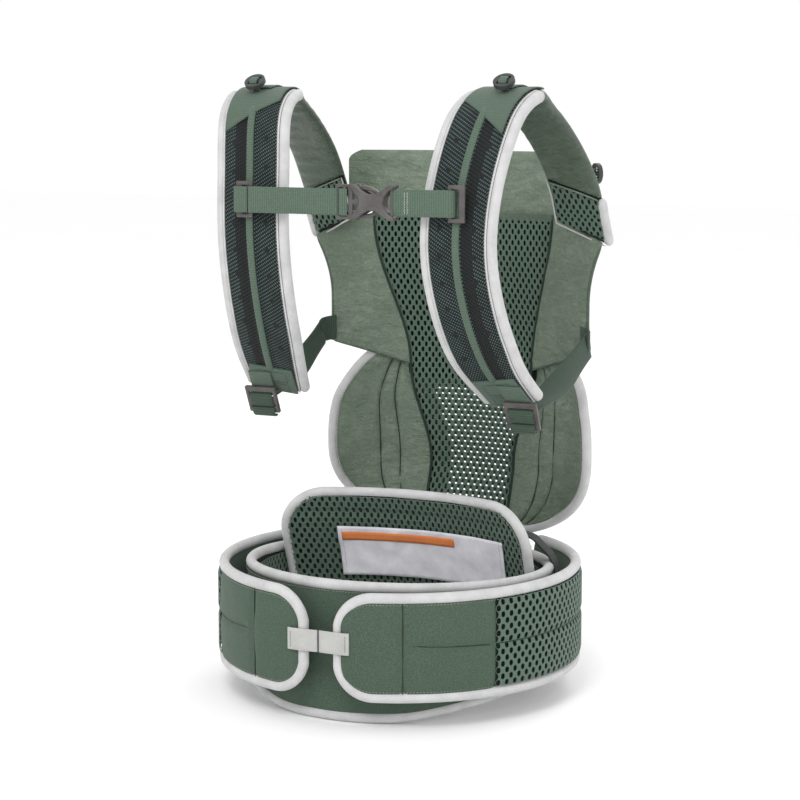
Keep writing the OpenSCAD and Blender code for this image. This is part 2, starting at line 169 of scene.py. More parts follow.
def linear(hex_colour):
    values = [int(hex_colour[i:i + 2], 16) / 255 for i in (1, 3, 5)]
    return [v / 12.92 if v <= 0.04045 else ((v + 0.055) / 1.055) ** 2.4 for v in values] + [1]


class Shader:
    """A Principled material with short calls for the nodes that feed it."""

    def __init__(self, name, roughness, sheen=0.0, specular=0.5):
        self.material = bpy.data.materials.new(name)
        self.material.use_nodes = True
        self.tree = self.material.node_tree
        self.surface = self.tree.nodes["Principled BSDF"]
        for socket, value in (("Roughness", roughness), ("Sheen Weight", sheen),
                              ("Sheen Roughness", 0.5), ("Specular IOR Level", specular)):
            self.surface.inputs[socket].default_value = value
        self.coordinates = self.node("TexCoord")

    def link(self, a, b):
        self.tree.links.new(a, b)

    def node(self, kind, **values):
        node = self.tree.nodes.new(f"ShaderNode{kind}")
        for name, value in values.items():
            node.inputs[name].default_value = value
        return node

    def texture(self, node, source, **mapping):
        """The texture's factor, with its source coordinates scaled or turned first."""
        moved = self.node("Mapping", **mapping)
        self.link(self.coordinates.outputs[source], moved.inputs["Vector"])
        self.link(moved.outputs["Vector"], node.inputs["Vector"])
        return node.outputs["Fac"]

    def noise(self, scale, detail, roughness=0.55, distortion=0.0, stretch=(1, 1, 1)):
        node = self.node("TexNoise", Scale=scale, Detail=detail, Roughness=roughness,
                         Distortion=distortion)
        return self.texture(node, "Object", Scale=stretch)

    def wave(self, pitch, angle, distortion=0.0):
        """Stripes pitch metres apart; the angle turns them in the UV plane."""
        node = self.node("TexWave", Scale=WAVE_PITCH / pitch, Distortion=distortion)
        return self.texture(node, "UV", Rotation=(0, 0, math.radians(angle)))

    def math(self, operation, a, b):
        node = self.node("Math")
        node.operation = operation
        for socket, value in zip(node.inputs, (a, b)):
            if isinstance(value, (int, float)):
                socket.default_value = value
            else:
                self.link(value, socket)
        return node.outputs[0]

    def ramp(self, factor, stops):
        node = self.node("ValToRGB")
        elements = node.color_ramp.elements
        while len(elements) < len(stops):
            elements.new(0.5)
        for element, (position, colour) in zip(elements, stops):
            element.position = position
            element.color = linear(colour)
        self.link(factor, node.inputs["Fac"])
        return node.outputs["Color"]

    def total(self, *parts):
        """Sockets added together, each times its weight."""
        first, *rest = [self.math("MULTIPLY", socket, weight) for socket, weight in parts]
        for part in rest:
            first = self.math("ADD", first, part)
        return first

    def tint(self, factor, base, colour):
        """The base colour with a share of a plain colour over it."""
        node = self.node("Mix")
        node.data_type = "RGBA"
        self.link(factor, node.inputs["Factor"])
        self.link(base, node.inputs[6])
        node.inputs[7].default_value = linear(colour)
        return node.outputs[2]

    def colour(self, value):
        self.link(value, self.surface.inputs["Base Color"])

    def roughness(self, value):
        self.link(value, self.surface.inputs["Roughness"])

    def bump(self, *layers):
        """Each layer is (height, distance in mm, strength)."""
        previous = None
        for height, distance, strength in layers:
            node = self.node("Bump", Distance=distance * MM, Strength=strength)
            self.link(height, node.inputs["Height"])
            if previous is not None:
                self.link(previous, node.inputs["Normal"])
            previous = node.outputs["Normal"]
        self.link(previous, self.surface.inputs["Normal"])


def crinkled_nylon(name, dark, mid, light):
    """Thin coated nylon with a fine pebbled crinkle over long soft creases."""
    s = Shader(name, roughness=0.5, sheen=0.08, specular=0.45)
    pebbles = s.noise(300, detail=3, roughness=0.5, distortion=1.3)
    grain = s.noise(900, detail=3, roughness=0.7)
    creases = s.noise(62, detail=5, roughness=0.6, distortion=1.2, stretch=(1, 1, 2.6))
    broad = s.noise(13, detail=2)
    tone = s.total((pebbles, 0.3), (grain, 0.08), (creases, 0.34), (broad, 0.28))
    s.colour(s.ramp(tone, [(0.36, dark), (0.5, mid), (0.64, light)]))
    s.roughness(s.math("ADD", s.math("MULTIPLY", pebbles, 0.4), 0.22))
    s.bump((creases, 3.0, 0.6), (pebbles, 1.2, 0.75), (grain, 0.2, 0.2))
    return s.material


def heather_knit(name, dark, mid, light):
    """Soft brushed knit with a speckled yarn."""
    s = Shader(name, roughness=0.95, sheen=0.12, specular=0.1)
    yarn = s.noise(2400, detail=2, roughness=0.8)
    fleck = s.noise(950, detail=2, roughness=0.7)
    broad = s.noise(18, detail=2)
    base = s.ramp(s.total((yarn, 0.5), (fleck, 0.5)), [(0.34, dark), (0.5, mid), (0.66, light)])
    s.colour(s.tint(s.math("MULTIPLY", broad, 0.22), base, dark))
    s.bump((broad, 1.0, 0.2), (fleck, 0.3, 0.5), (yarn, 0.2, 0.6))
    return s.material


def spacer_lattice(name, dark, light):
    """The knitted strands between the holes of a spacer mesh."""
    s = Shader(name, roughness=0.8, sheen=0.15, specular=0.3)
    yarn = s.noise(1500, detail=3, roughness=0.7)
    loops = s.wave(0.0009, angle=35, distortion=1.5)
    s.colour(s.ramp(s.total((yarn, 0.6), (loops, 0.4)), [(0.3, dark), (0.7, light)]))
    s.bump((yarn, 0.3, 0.6), (loops, 0.25, 0.5))
    return s.material


def fine_mesh(name, dark, light):
    """Close spacer mesh: small light loops in diagonal rows on a dark ground."""
    s = Shader(name, roughness=0.75, sheen=0.05, specular=0.3)
    one, two = s.wave(0.0026, angle=45), s.wave(0.0026, angle=-45)
    loops = s.math("MULTIPLY", one, two)
    worn = s.math("ADD", s.noise(46, detail=3), 0.35)
    broken = s.math("MULTIPLY", loops, worn)
    s.colour(s.ramp(broken, [(0.2, dark), (0.72, light)]))
    s.bump((loops, 0.6, 0.8))
    return s.material


def webbing(name, dark, light):
    """Flat woven webbing with ribs along it and a fine cross weave."""
    s = Shader(name, roughness=0.75, sheen=0.12, specular=0.3)
    ribs = s.wave(0.0013, angle=0)
    picks = s.wave(0.0024, angle=90)
    weave = s.total((ribs, 0.45), (picks, 0.55))
    fuzz = s.noise(900, detail=3)
    s.colour(s.ramp(s.total((weave, 0.4), (fuzz, 0.6)), [(0.2, dark), (0.75, light)]))
    s.bump((weave, 0.35, 0.7), (fuzz, 0.2, 0.4))
    return s.material


def soft_binding(name, dark, light):
    """Soft stretch binding with a faint knit."""
    s = Shader(name, roughness=0.88, sheen=0.15, specular=0.2)
    knit = s.noise(1500, detail=3, roughness=0.7)
    broad = s.noise(60, detail=3)
    s.colour(s.ramp(s.total((knit, 0.5), (broad, 0.5)), [(0.3, dark), (0.62, light)]))
    s.bump((broad, 0.6, 0.3), (knit, 0.2, 0.5))
    return s.material


def moulded_plastic(name, dark, light):
    """Satin moulded plastic with a light spark grain."""
    s = Shader(name, roughness=0.4, specular=0.5)
    grain = s.noise(2600, detail=2)
    broad = s.noise(70, detail=4)
    s.colour(s.ramp(broad, [(0.35, dark), (0.7, light)]))
    s.roughness(s.math("ADD", s.math("MULTIPLY", broad, 0.2), 0.3))
    s.bump((grain, 0.08, 0.5))
    return s.material


def plain_cloth(name, dark, light):
    """Smooth printed cloth with a slight waviness."""
    s = Shader(name, roughness=0.8, sheen=0.1, specular=0.2)
    weave = s.math("MULTIPLY", s.wave(0.0008, angle=0), s.wave(0.0008, angle=90))
    broad = s.noise(55, detail=3)
    s.colour(s.ramp(broad, [(0.3, dark), (0.7, light)]))
    s.bump((broad, 1.2, 0.4), (weave, 0.15, 0.5))
    return s.material


SAGE = crinkled_nylon("sage_nylon", "#566554", "#677665", "#7f8d7c")
# The same nylon in darker tones for the strap sleeves: painted shade inside the arch of the
# straps.
SAGE_SLEEVE_SHADED = crinkled_nylon("sage_nylon_sleeve_shaded", "#374537", "#455344", "#586656")
# The same nylon in darker tones for back faces, edge cords and the headrest fold: painted shade.
SAGE_SHADED = crinkled_nylon("sage_nylon_shaded", "#3d4c3d", "#4b5a4a", "#5d6c5c")
HEATHER = heather_knit("forest_heather", "#3b493e", "#4a5a4d", "#5f7162")
LATTICE = spacer_lattice("forest_lattice", "#42564a", "#63786a")
# A darker copy of the lattice for the mesh's inner layer: painted shade inside the mesh.
LATTICE_SHADED = spacer_lattice("forest_lattice_shaded", "#33463a", "#4f6354")
# Near-black knit for the faces behind the meshes: painted shade seen through their holes.
HOLE_SHADE = heather_knit("mesh_hole_shade", "#101814", "#18221c", "#222e27")
BLACK_MESH = fine_mesh("black_spacer_mesh", "#0a1010", "#546a66")
# A darker copy of the black mesh for the grooves beside the rail: painted shade.
BLACK_MESH_SHADED = fine_mesh("black_mesh_shaded", "#0a0d0d", "#262e2e")
WEBBING = webbing("green_webbing", "#384a3d", "#607264")
# A darker copy of the webbing for the adjusters, the lock turns and the anchors: painted shade.
WEBBING_SHADED = webbing("green_webbing_shaded", "#26352b", "#435547")
PATCH = webbing("green_patch", "#3f5144", "#5b6c5f")
PIPING = soft_binding("grey_binding", "#aeaeae", "#cacaca")
TAB = soft_binding("grey_tab", "#a2a29f", "#b9b9b6")
THREAD = soft_binding("grey_thread", "#77766f", "#8f8e88")
# Dark green for seam lines and stitches; the lines along seams, darts, pleats and folds are
# painted shade in their grooves.
SEAM_AND_SHADE = soft_binding("green_seam_and_shade", "#1f2b24", "#2c3a31")
ELASTIC = webbing("black_elastic", "#0d0e0f", "#26292b")
PLASTIC = moulded_plastic("warm_grey_plastic", "#454241", "#5b5856")
PLASTIC_DARK = moulded_plastic("dark_plastic", "#272b2a", "#3c413f")
LABEL = plain_cloth("label_cloth", "#d6d4dd", "#eeedf2")
LABEL_BAND = plain_cloth("label_band_cloth", "#d77c45", "#e58a50")


# ---- mesh builders
def add_object(name, data):
    thing = bpy.data.objects.new(name, data)
    bpy.context.scene.collection.objects.link(thing)
    return thing


def make_mesh(name, points, faces, materials, uv=None, face_slots=None):
    """An object from points in mm; uv holds one pair in metres for each point."""
    mesh = bpy.data.meshes.new(name)
    mesh.from_pydata(to_row(points).tolist(), [], faces)
    for material in materials:
        mesh.materials.append(material)
    if face_slots is not None:
        mesh.polygons.foreach_set("material_index", np.asarray(face_slots, np.int32))
    if uv is not None:
        layer = mesh.uv_layers.new(name="UVMap")
        corners = np.zeros(len(mesh.loops), np.int32)
        mesh.loops.foreach_get("vertex_index", corners)
        layer.data.foreach_set("uv", np.asarray(uv, np.float32)[corners].ravel())
    shape = bmesh.new()
    shape.from_mesh(mesh)
    bmesh.ops.recalc_face_normals(shape, faces=shape.faces)
    shape.to_mesh(mesh)
    shape.free()
    mesh.polygons.foreach_set("use_smooth", [True] * len(mesh.polygons))
    return add_object(name, mesh)


def grid_quads(rows, columns, wrap, offset=0):
    last = columns if wrap else columns - 1
    return [[offset + i * columns + j, offset + i * columns + (j + 1) % columns,
             offset + (i + 1) * columns + (j + 1) % columns, offset + (i + 1) * columns + j]
            for i in range(rows - 1) for j in range(last)]


def rim(rows, columns, wrap):
    """The border of a grid as closed loops of indices."""
    top = [(rows - 1) * columns + j for j in range(columns)]
    low = list(range(columns))
    if wrap:
        return [low, top]
    right = [i * columns + columns - 1 for i in range(1, rows - 1)]
    left = [i * columns for i in range(rows - 2, 0, -1)]
    return [low + right + top[::-1] + left]


def flat_lengths(mid):
    """Distances along a grid of points, in metres: across and along."""
    across = np.linalg.norm(np.diff(mid, axis=1), axis=-1)
    along = np.linalg.norm(np.diff(mid, axis=0), axis=-1)
    u = np.concatenate([np.zeros((mid.shape[0], 1)), np.cumsum(across, 1)], 1)
    v = np.concatenate([np.zeros((1, mid.shape[1])), np.cumsum(along, 0)], 0)
    return u * MM, v * MM


def pad(name, mid, normal, front, back, materials, slots=None, wrap=False):
    """A closed padded piece: front and back are its half thicknesses over the grid mid."""
    rows, columns = mid.shape[:2]
    count = rows * columns
    points = np.concatenate([(mid + normal * front[..., None]).reshape(-1, 3),
                             (mid - normal * back[..., None]).reshape(-1, 3)])
    faces = grid_quads(rows, columns, wrap)
    half = len(faces)
    faces += [f[::-1] for f in grid_quads(rows, columns, wrap, count)]
    for loop in rim(rows, columns, wrap):
        for a, b in zip(loop, loop[1:] + loop[:1]):
            faces.append([a, b, b + count, a + count])
    chosen = [0] * half + [1] * half + [0] * (len(faces) - 2 * half)
    if slots is not None:
        chosen = slots(faces, half)
    u, v = flat_lengths(mid)
    uv = np.tile(np.stack([u, v], -1).reshape(-1, 2), (2, 1))
    return make_mesh(name, points, faces, materials, uv, chosen)


def cloth(name, mid, normal, half, front, back=None):
    """A thin closed sheet over the grid mid, half its thickness to each side."""
    thin = np.full(mid.shape[:2], half)
    return pad(name, mid, normal, thin, thin, [front, back or front])


def grid_normals(mid):
    return unit(np.cross(np.gradient(mid, axis=1), np.gradient(mid, axis=0)))


def tube(name, path, radius, material, up, closed=False, sides=12, flat=1.0):
    """A round cord along path; up is the direction of its flattened side."""
    path = np.asarray(path, float)
    up = np.broadcast_to(np.asarray(up, float), path.shape)
    if closed:
        tangent = unit(np.roll(path, -1, 0) - np.roll(path, 1, 0))
    else:
        tangent = unit(np.gradient(path, axis=0))
    across = unit(np.cross(tangent, up))
    out = np.cross(across, tangent)
    angle = np.arange(sides) * 2 * math.pi / sides
    radii = np.full(len(path), float(radius))
    if not closed:
        radii[[0, -1]] *= 0.35
        radii[[1, -2]] *= 0.85
    ring = path[:, None] + radii[:, None, None] * (across[:, None] * np.cos(angle)[:, None]
                                                   + flat * out[:, None] * np.sin(angle)[:, None])
    rows = len(path)
    faces = grid_quads(rows, sides, wrap=True)
    if closed:
        last = (rows - 1) * sides
        faces += [[last + j, last + (j + 1) % sides, (j + 1) % sides, j] for j in range(sides)]
    else:
        faces += [list(range(sides))[::-1], [(rows - 1) * sides + j for j in range(sides)]]
    along = distances(path)[:, None]
    uv = np.stack(np.broadcast_arrays(along * MM, (angle * radius * MM)[None]), -1)
    return make_mesh(name, ring.reshape(-1, 3), faces, [material], uv.reshape(-1, 2))


def strip(name, path, across, normal, width, thick, material, crown=0.0):
    """Flat webbing along path, width mm wide along across and thick mm along normal."""
    path = np.asarray(path, float)
    across = np.broadcast_to(np.asarray(across, float), path.shape)
    normal = np.broadcast_to(np.asarray(normal, float), path.shape)
    share = np.array([-1, -0.94, -0.5, 0, 0.5, 0.94, 1])
    mid = path[:, None] + across[:, None] * (share * width / 2)[:, None]
    half = np.where(abs(share) < 1, thick / 2, thick * 0.3)
    front = np.broadcast_to(half + dome(share, 2) * crown, mid.shape[:2])
    back = np.broadcast_to(half, mid.shape[:2])
    grid = np.broadcast_to(normal[:, None], mid.shape)
    return pad(name, mid, grid, front, back, [material, material])


def stitches(name, path, normal, pitch=3.2, length=2.1, radius=0.45, material=THREAD):
    """A line of short raised stitches along path."""
    path = np.asarray(path, float)
    normal = np.broadcast_to(np.asarray(normal, float), path.shape)
    steps = distances(path)

    def sample(values, d):
        return np.stack([np.interp(d, steps, values[:, k]) for k in range(3)], -1)

    starts = np.arange(pitch / 2, steps[-1] - length, pitch)
    angle = np.arange(5) * 2 * math.pi / 5
    points, faces = [], []
    for d in starts:
        a, b = sample(path, d), sample(path, d + length)
        n = unit(sample(normal, d))
        t = unit(b - a)
        w = np.cross(t, n)
        base = len(points)
        for q, size in ((a, 0.35), (lerp(a, b, 0.5), 1.0), (b, 0.35)):
            for k in angle:
                points.append(q + radius * size * (w * math.cos(k) + n * (math.sin(k) + 0.3)))
        faces += grid_quads(3, 5, True, base)
        faces.append([base + j for j in range(5)][::-1])
        faces.append([base + 10 + j for j in range(5)])
    return make_mesh(name, np.array(points), faces, [material])


def net(name, place, inside, a_range, b_range, strands=LATTICE, thick=0.9, pitch_a=7.0,
        pitch_b=5.8, hole=(1.35, 2.9)):
    """Spacer mesh with real slots in staggered rows. place(a, b) maps flat mm to space."""
    keys, flat, faces = {}, [], []

    def corner(i, j):
        if (i, j) not in keys:
            keys[i, j] = len(flat)
            flat.append((i * pitch_a / 2, j * pitch_b / 3))
        return keys[i, j]

    rows = range(int(b_range[0] // pitch_b), int(b_range[1] // pitch_b) + 1)
    columns = range(int(a_range[0] // pitch_a) - 1, int(a_range[1] // pitch_a) + 2)
    around = [(0, 2), (1, 1), (1, -1), (0, -2), (-1, -1), (-1, 1)]
    for r in rows:
        for c in columns:
            i, j = 2 * c + r % 2, 3 * r
            a, b = i * pitch_a / 2, j * pitch_b / 3
            if not inside(a, b):
                continue
            ring = [corner(i + di, j + dj) for di, dj in around]
            first = len(flat)
            for di, dj in around:
                reach = 1 if di == 0 else 0.85
                flat.append((a + hole[0] * di, b + hole[1] * reach * np.sign(dj)))
            for k in range(6):
                n = (k + 1) % 6
                faces.append([ring[k], ring[n], first + n, first + k])
    flat = np.array(flat)
    piece = make_mesh(name, place(flat[:, 0], flat[:, 1]), faces, [strands], flat * MM)
    solid = piece.modifiers.new("strands", "SOLIDIFY")
    solid.thickness = thick * MM
    solid.offset = 0
    rounded = piece.modifiers.new("round", "SUBSURF")
    rounded.levels = rounded.render_levels = 1
    return piece


def bevelled(node, width, material):
    """A copy of a CAD plastic part with softened edges."""
    piece = add_object(f"{node}_shell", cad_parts[node].data.copy())
    piece.data.materials.clear()
    piece.data.materials.append(material)
    shape = bmesh.new()
    shape.from_mesh(piece.data)
    bmesh.ops.remove_doubles(shape, verts=shape.verts, dist=1e-6)
    bmesh.ops.dissolve_limit(shape, angle_limit=math.radians(4), verts=shape.verts,
                             edges=shape.edges)
    shape.to_mesh(piece.data)
    shape.free()
    return soften(piece, width, 3)


def soften(piece, width, segments):
    """Rounds the sharp edges of a moulded part."""
    edge = piece.modifiers.new("edge", "BEVEL")
    edge.width = width * MM
    edge.segments = segments
    edge.limit_method = "ANGLE"
    edge.angle_limit = math.radians(35)
    piece.data.polygons.foreach_set("use_smooth", [True] * len(piece.data.polygons))
    normals = piece.modifiers.new("normals", "WEIGHTED_NORMAL")
    normals.keep_sharp = True
    return piece


def plate(name, outlines, front, back, width, material):
    """Flat moulded shapes with rounded edges; outlines lie in X and Z, front and back are Y."""
    points, faces = [], []
    for outline in outlines:
        first, count = len(points), len(outline)
        points += [(x, front, z) for x, z in outline] + [(x, back, z) for x, z in outline]
        faces.append([first + k for k in range(count)])
        faces.append([first + count + k for k in range(count)][::-1])
        for k in range(count):
            n = (k + 1) % count
            faces.append([first + n, first + k, first + count + k, first + count + n])
    piece = make_mesh(name, np.array(points, float), faces, [material])
    return soften(piece, width, 4)


def both_halves(outline):
    """A closed outline from its upper half, mirrored in Z."""
    return outline + [(x, -z) for x, z in outline[::-1] if z != 0]


def box_outline(x0, x1, z0, z1):
    return [(x0, z0), (x1, z0), (x1, z1), (x0, z1)]


def put(piece, body, slot, *nodes, fill=None):
    """Rides a finished piece on its body and hides the CAD parts it stands in for."""
    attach(piece, body)
    return declare(piece, slot, *nodes, fill=fill)


def declare(piece, slot, *nodes, fill=None):
    if nodes:
        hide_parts(*nodes)
    return piece


# ---- camera, light and floor
VIEW_AZIMUTH, VIEW_ELEVATION, VIEW_DISTANCE = 25.0, 8.0, 2200.0
VIEW_TARGET = np.array([0.0, 0.0, 290.0])


def make_camera():
    a, e = math.radians(VIEW_AZIMUTH), math.radians(VIEW_ELEVATION)
    back = np.array([math.sin(a) * math.cos(e), -math.cos(a) * math.cos(e), math.sin(e)])
    data = bpy.data.cameras.new("camera")
    data.lens, data.sensor_width = 99.0, 36.0
    data.clip_start, data.clip_end = 0.1, 20.0
    camera = add_object("camera", data)
    camera.location = row(*(VIEW_TARGET + back * VIEW_DISTANCE))
    aim(camera, Vector(-back))
    bpy.context.scene.camera = camera


def aim(thing, direction):
    """Points a camera or a lamp along a direction."""
    thing.rotation_mode = "QUATERNION"
    thing.rotation_quaternion = direction.to_track_quat("-Z", "Y")


def area_light(name, position, target, size, power):
    data = bpy.data.lights.new(name, "AREA")
    data.size, data.energy = size, power
    lamp = add_object(name, data)
    lamp.location = position
    aim(lamp, Vector(target) - Vector(position))


def make_studio():
    bpy.context.scene.view_settings.view_transform = "Standard"
    world = bpy.data.worlds.new("studio")
    world.use_nodes = True
    sky = world.node_tree.nodes["Background"].inputs
    sky["Color"].default_value, sky["Strength"].default_value = (1, 1, 1, 1), 1.0
    bpy.context.scene.world = world
    area_light("key", (0.4, -2.4, 2.7), (0, 0, 0.3), 1.1, 36)
    area_light("fill", (2.2, -1.6, 1.3), (0, 0, 0.3), 1.8, 6)
    area_light("back", (0.4, 2.2, 2.2), (0, 0, 0.4), 1.6, 16)
    plain = Shader("floor", roughness=0.9, specular=0.1)
    grain = plain.noise(3, detail=2)
    plain.colour(plain.ramp(grain, [(0.2, "#fdfdfd"), (0.8, "#fefefe")]))
    reach = 9.0
    mesh = bpy.data.meshes.new("floor")
    mesh.from_pydata([(-reach, -reach, 0), (reach, -reach, 0), (reach, reach, 0),
                      (-reach, reach, 0)], [], [[0, 1, 2, 3]])
    mesh.materials.append(plain.material)
    add_object("floor", mesh)


# ---- belt
def ring_point(r, degrees, z):
    a = np.radians(degrees)
    return xyz(r * np.sin(a), -r * np.cos(a), z)


def radial(degrees):
    a = np.radians(degrees)
    return xyz(np.sin(a), -np.cos(a), 0 * a)


def band_top(degrees):
    return BAND_H + BAND_SLOPE * -BAND_R * np.cos(np.radians(degrees))


def band_low(degrees):
    x = BAND_R * np.sin(np.radians(degrees))
    return 0.22 * np.logaddexp(0, (abs(x) - BAND_FOOT) / 9) * 9


def make_lumbar_band():
    angle = np.arange(0, 360, 2.5)[None]
    v = np.linspace(0, 1, 15)[:, None]
    z = lerp(band_low(angle) + 1.5, band_top(angle) - 1, v)
    mid = ring_point(BAND_R, angle, z)
    half = 2.2 + 2.6 * dome(2 * v - 1, 3) + 0.7 * ripple(mid, 60, 3)
    normal = np.broadcast_to(radial(angle), mid.shape)
    # The inner face lies behind the lining mesh and is near-black: painted shade seen through its
    # holes.
    piece = pad("lumbar_band_cover", mid, normal, half, half, [HEATHER, HOLE_SHADE], wrap=True)
    put(piece, "belt", "forest_heather", "lumbar_band", fill=0.6)

    inner = BAND_R - 6.2
    length = math.radians(180) * inner

    def place(a, b):
        return ring_point(inner, np.degrees(a / inner), b)

    def inside(a, b):
        t = math.degrees(a / inner)
        return abs(a) < length and band_low(t) + 8 < b < band_top(t) - 8

    lining = net("lumbar_band_lining", place, inside, (-length, length), (5, 135))
    put(lining, "belt", "forest_mesh")


def bind_edge(name, path, normal, body, *nodes, closed=False):
    """A soft tube of binding over an edge."""
    put(tube(f"{name}_cover", path, BIND, PIPING, normal, closed=closed), body, "grey_piping",
        *nodes)


def sew(name, path, normal, body, slot="grey_piping", **thread):
    put(stitches(name, path, normal, **thread), body, slot)


def make_band_bindings():
    angle = np.arange(0, 360, 3.0)
    out = radial(angle)
    top = ring_point(BAND_R, angle, band_top(angle))
    lip = ring_point(BAND_R + BIND * 0.9, angle, band_top(angle) - BIND)
    bind_edge("band_binding_top", top, out, "belt", "band_binding_top", closed=True)
    sew("band_binding_top_stitches", np.vstack([lip, lip[:1]]), np.vstack([out, out[:1]]), "belt")
    low = ring_point(BAND_R, angle, band_low(angle) + BIND * 1.02)
    bind_edge("band_binding_low", low, out, "belt", "band_binding_left", "band_binding_right",
              closed=True)


def pad_half(z):
    corner = np.clip((z - PAD_TOP + PAD_ROUND) / PAD_ROUND, 0, 0.995)
    return PAD_W - 34 * smooth((90 - z) / 66) - PAD_ROUND * (1 - np.sqrt(1 - corner ** 2))


def pad_y(x, z):
    return PAD_EDGE_Y + PAD_BOW * (1 - (x / PAD_W) ** 2) + PAD_LEAN * (PAD_TOP - z)


def pad_z(share):
    """Heights up the pad, closer together towards its top."""
    return PAD_LOW + (PAD_TOP - PAD_LOW) * np.sin(share * math.pi / 2)


def on_pad(x, z, back):
    return xyz(x, pad_y(x, z) + back, z)


def make_belly_pad():
    share = np.linspace(-1, 1, 45)[None]
    t = np.linspace(0, 1, 33)[:, None]
    z = pad_z(t)
    mid = on_pad(pad_half(z) * share, z, PAD_T / 2)
    normal = grid_normals(mid)
    crown = dome(share, 6) * dome(2 * t - 1, 8)
    crease = 1 - 0.5 * bump_at(z, PAD_CREASE, 3) * dome(share, 8)
    half = 1.8 + 3.4 * crown * crease + 0.4 * ripple(mid, 50, 11)
    # The front face lies behind the mesh and is near-black: painted shade seen through its holes.
    put(pad("belly_pad_cover", mid, normal, half, half, [HOLE_SHADE, HEATHER]), "belt",
        "forest_heather", "belly_pad", fill=0.6)

    def place(a, b):
        a = np.clip(a, -pad_half(b) + 3, pad_half(b) - 3)
        return on_pad(a, b, 1.7 * bump_at(b, PAD_CREASE, 3) - 1.3)

    face = net("belly_pad_face", place, lambda a, b: abs(a) < pad_half(b) - 4,
               (-PAD_W, PAD_W), (PAD_LOW + 4, PAD_TOP - 5))
    put(face, "belt", "forest_mesh")
    make_belly_pad_binding()


def make_belly_pad_binding():
    z = pad_z(np.linspace(0, 1, 26))
    side = on_pad(pad_half(z), z, PAD_T / 2)
    x = np.linspace(pad_half(PAD_TOP), -pad_half(PAD_TOP), 22)[1:-1]
    outline = np.vstack([side, on_pad(x, PAD_TOP, PAD_T / 2), mirrored(side[::-1], -1)])
    bind_edge("belly_pad_binding", outline, [0, 1, 0], "belt", "belly_pad_binding")
    outward = unit((outline - [0, 0, (PAD_TOP + PAD_LOW) / 2]) * [1, 0, 1])
    lip = outline - outward * BIND * 1.05 - [0, BIND * 0.75, 0]
    sew("belly_pad_binding_stitches", lip, [0, -1, 0], "belt")


def make_label():
    x = np.linspace(LABEL_X[0], LABEL_X[1], 46)[None]
    z = np.linspace(LABEL_Z[0], LABEL_Z[1], 19)[:, None]
    flat = xyz(x, 0, z)
    flutter = 0.8 * ripple(flat, 45, 21) + 0.5 * ripple(flat, 17, 22)
    mid = on_pad(x, z, -4.4 - flutter - 1.6 * smooth((120 - z) / 30))
    normal = grid_normals(mid)
    label = cloth("care_label_cover", mid, normal, 0.35, LABEL)
    put(label, "belt", "label_cloth", "care_label")
    top, span = slice(-6, -2), slice(1, 31)
    band = cloth("care_label_band", mid[top, span] - [0, 0.8, 0], normal[top, span], 0.35,
                 LABEL_BAND)
    put(band, "belt", "label_cloth")
    for x_share in (0.02, 0.98):
        column = round(x_share * (mid.shape[1] - 1))
        sew(f"care_label_stitches_{column}", mid[:, column] - [0, 0.9, 0], [0, -1, 0], "belt",
            "label_cloth", pitch=2.8, length=1.8, radius=0.25)


def make_belt_back():
    angle = np.linspace(WING_BACK + 3.4, 360 - WING_BACK - 3.4, 41)[None]
    v = np.linspace(0, 1, 17)[:, None]
    z = lerp(WING_Z + 1, WING_Z + WING_H - 9, v)
    mid = ring_point(WING_R - 1.5, angle, z)
    half = 2 + 2.2 * dome(2 * v - 1, 4) + 0.3 * ripple(mid, 50, 5)
    normal = np.broadcast_to(radial(angle), mid.shape)
    put(pad("belt_back_cover", mid, normal, half, half, [HEATHER, HEATHER]), "belt",
        "forest_heather", "belt_back", fill=0.6)


def make_belt_elastics():
    """Black elastic on the band's outside, looped up over the wing's end at each side."""
    hook = relax(resample([[118, 44, 156], [125, 52, 152], [132, 58, 142], [138, 61, 135],
                           [143, 62, 127], [146, 61, 118], [147, 60, 108], [148, 62, 95]], 40), 4)
    angle = np.linspace(112, 147, 24)
    lie = ring_point(BAND_R + 8, angle, np.full(24, 84.0))
    for name, side in SIDES.items():
        path = mirrored(hook, side)
        across = unit(np.array([-side * 0.15, 0.98, 0.0]))
        normal = unit(np.cross(np.gradient(path, axis=0), across)) * -side
        put(strip(f"belt_elastic_{name}_hook", path, across, normal, 22, 1.4, ELASTIC), "belt",
            "black_elastic")
        band = strip(f"belt_elastic_{name}_cover", mirrored(lie, side), [0, 0, 1],
                     mirrored(radial(angle), side), 36, 1.4, ELASTIC)
        put(band, "belt", "black_elastic", f"belt_elastic_{name}")


# ---- belt wings
SEAM_A, MESH_A = 25.8, 54.5  # where the seam and the mesh lie, in degrees from the front
WING_FACE_R = WING_R + 6.0
TAB_Z = WING_Z + 51.5  # the middle of the tab that joins the wings
LEVEL = np.array([1, 1, 0])


def wing_half(degrees):
    u = np.clip(1 - np.radians(degrees - WING_GAP) * WING_R / WING_ROUND, 0, 1)
    return WING_H / 2 - WING_ROUND * (1 - np.sqrt(1 - u * u * 0.96))


def dart_height(degrees):
    return WING_MID + 3 - 4 * (degrees - SEAM_A) / (MESH_A - SEAM_A)


def wing_relief(degrees, z):
    """Share of the full thickness: less along the seam, the dart and the mesh edge."""
    seam = 0.45 * bump_at(degrees, SEAM_A, 0.55) + 0.5 * bump_at(degrees, MESH_A, 0.6)
    between = smooth((degrees - SEAM_A - 2) / 2) * smooth((MESH_A + 0.3 - degrees) / 1)
    dart = 0.5 * bump_at(z, dart_height(degrees), 3.2) * between
    return 1 - seam - dart


def wing_soft(mid):
    """Slight unevenness of a wing's face, in mm."""
    return 0.6 * ripple(mid, 48, 8) + 0.2 * ripple(mid, 15, 9)


def wing_angles():
    """Places along a wing in degrees, closer together at its rounded front end."""
    near = WING_GAP + 34 * (1 - np.cos(np.linspace(0, math.pi / 2, 34)))
    return np.concatenate([near, np.arange(near[-1] + 1.0, WING_BACK, 1.4), [WING_BACK]])


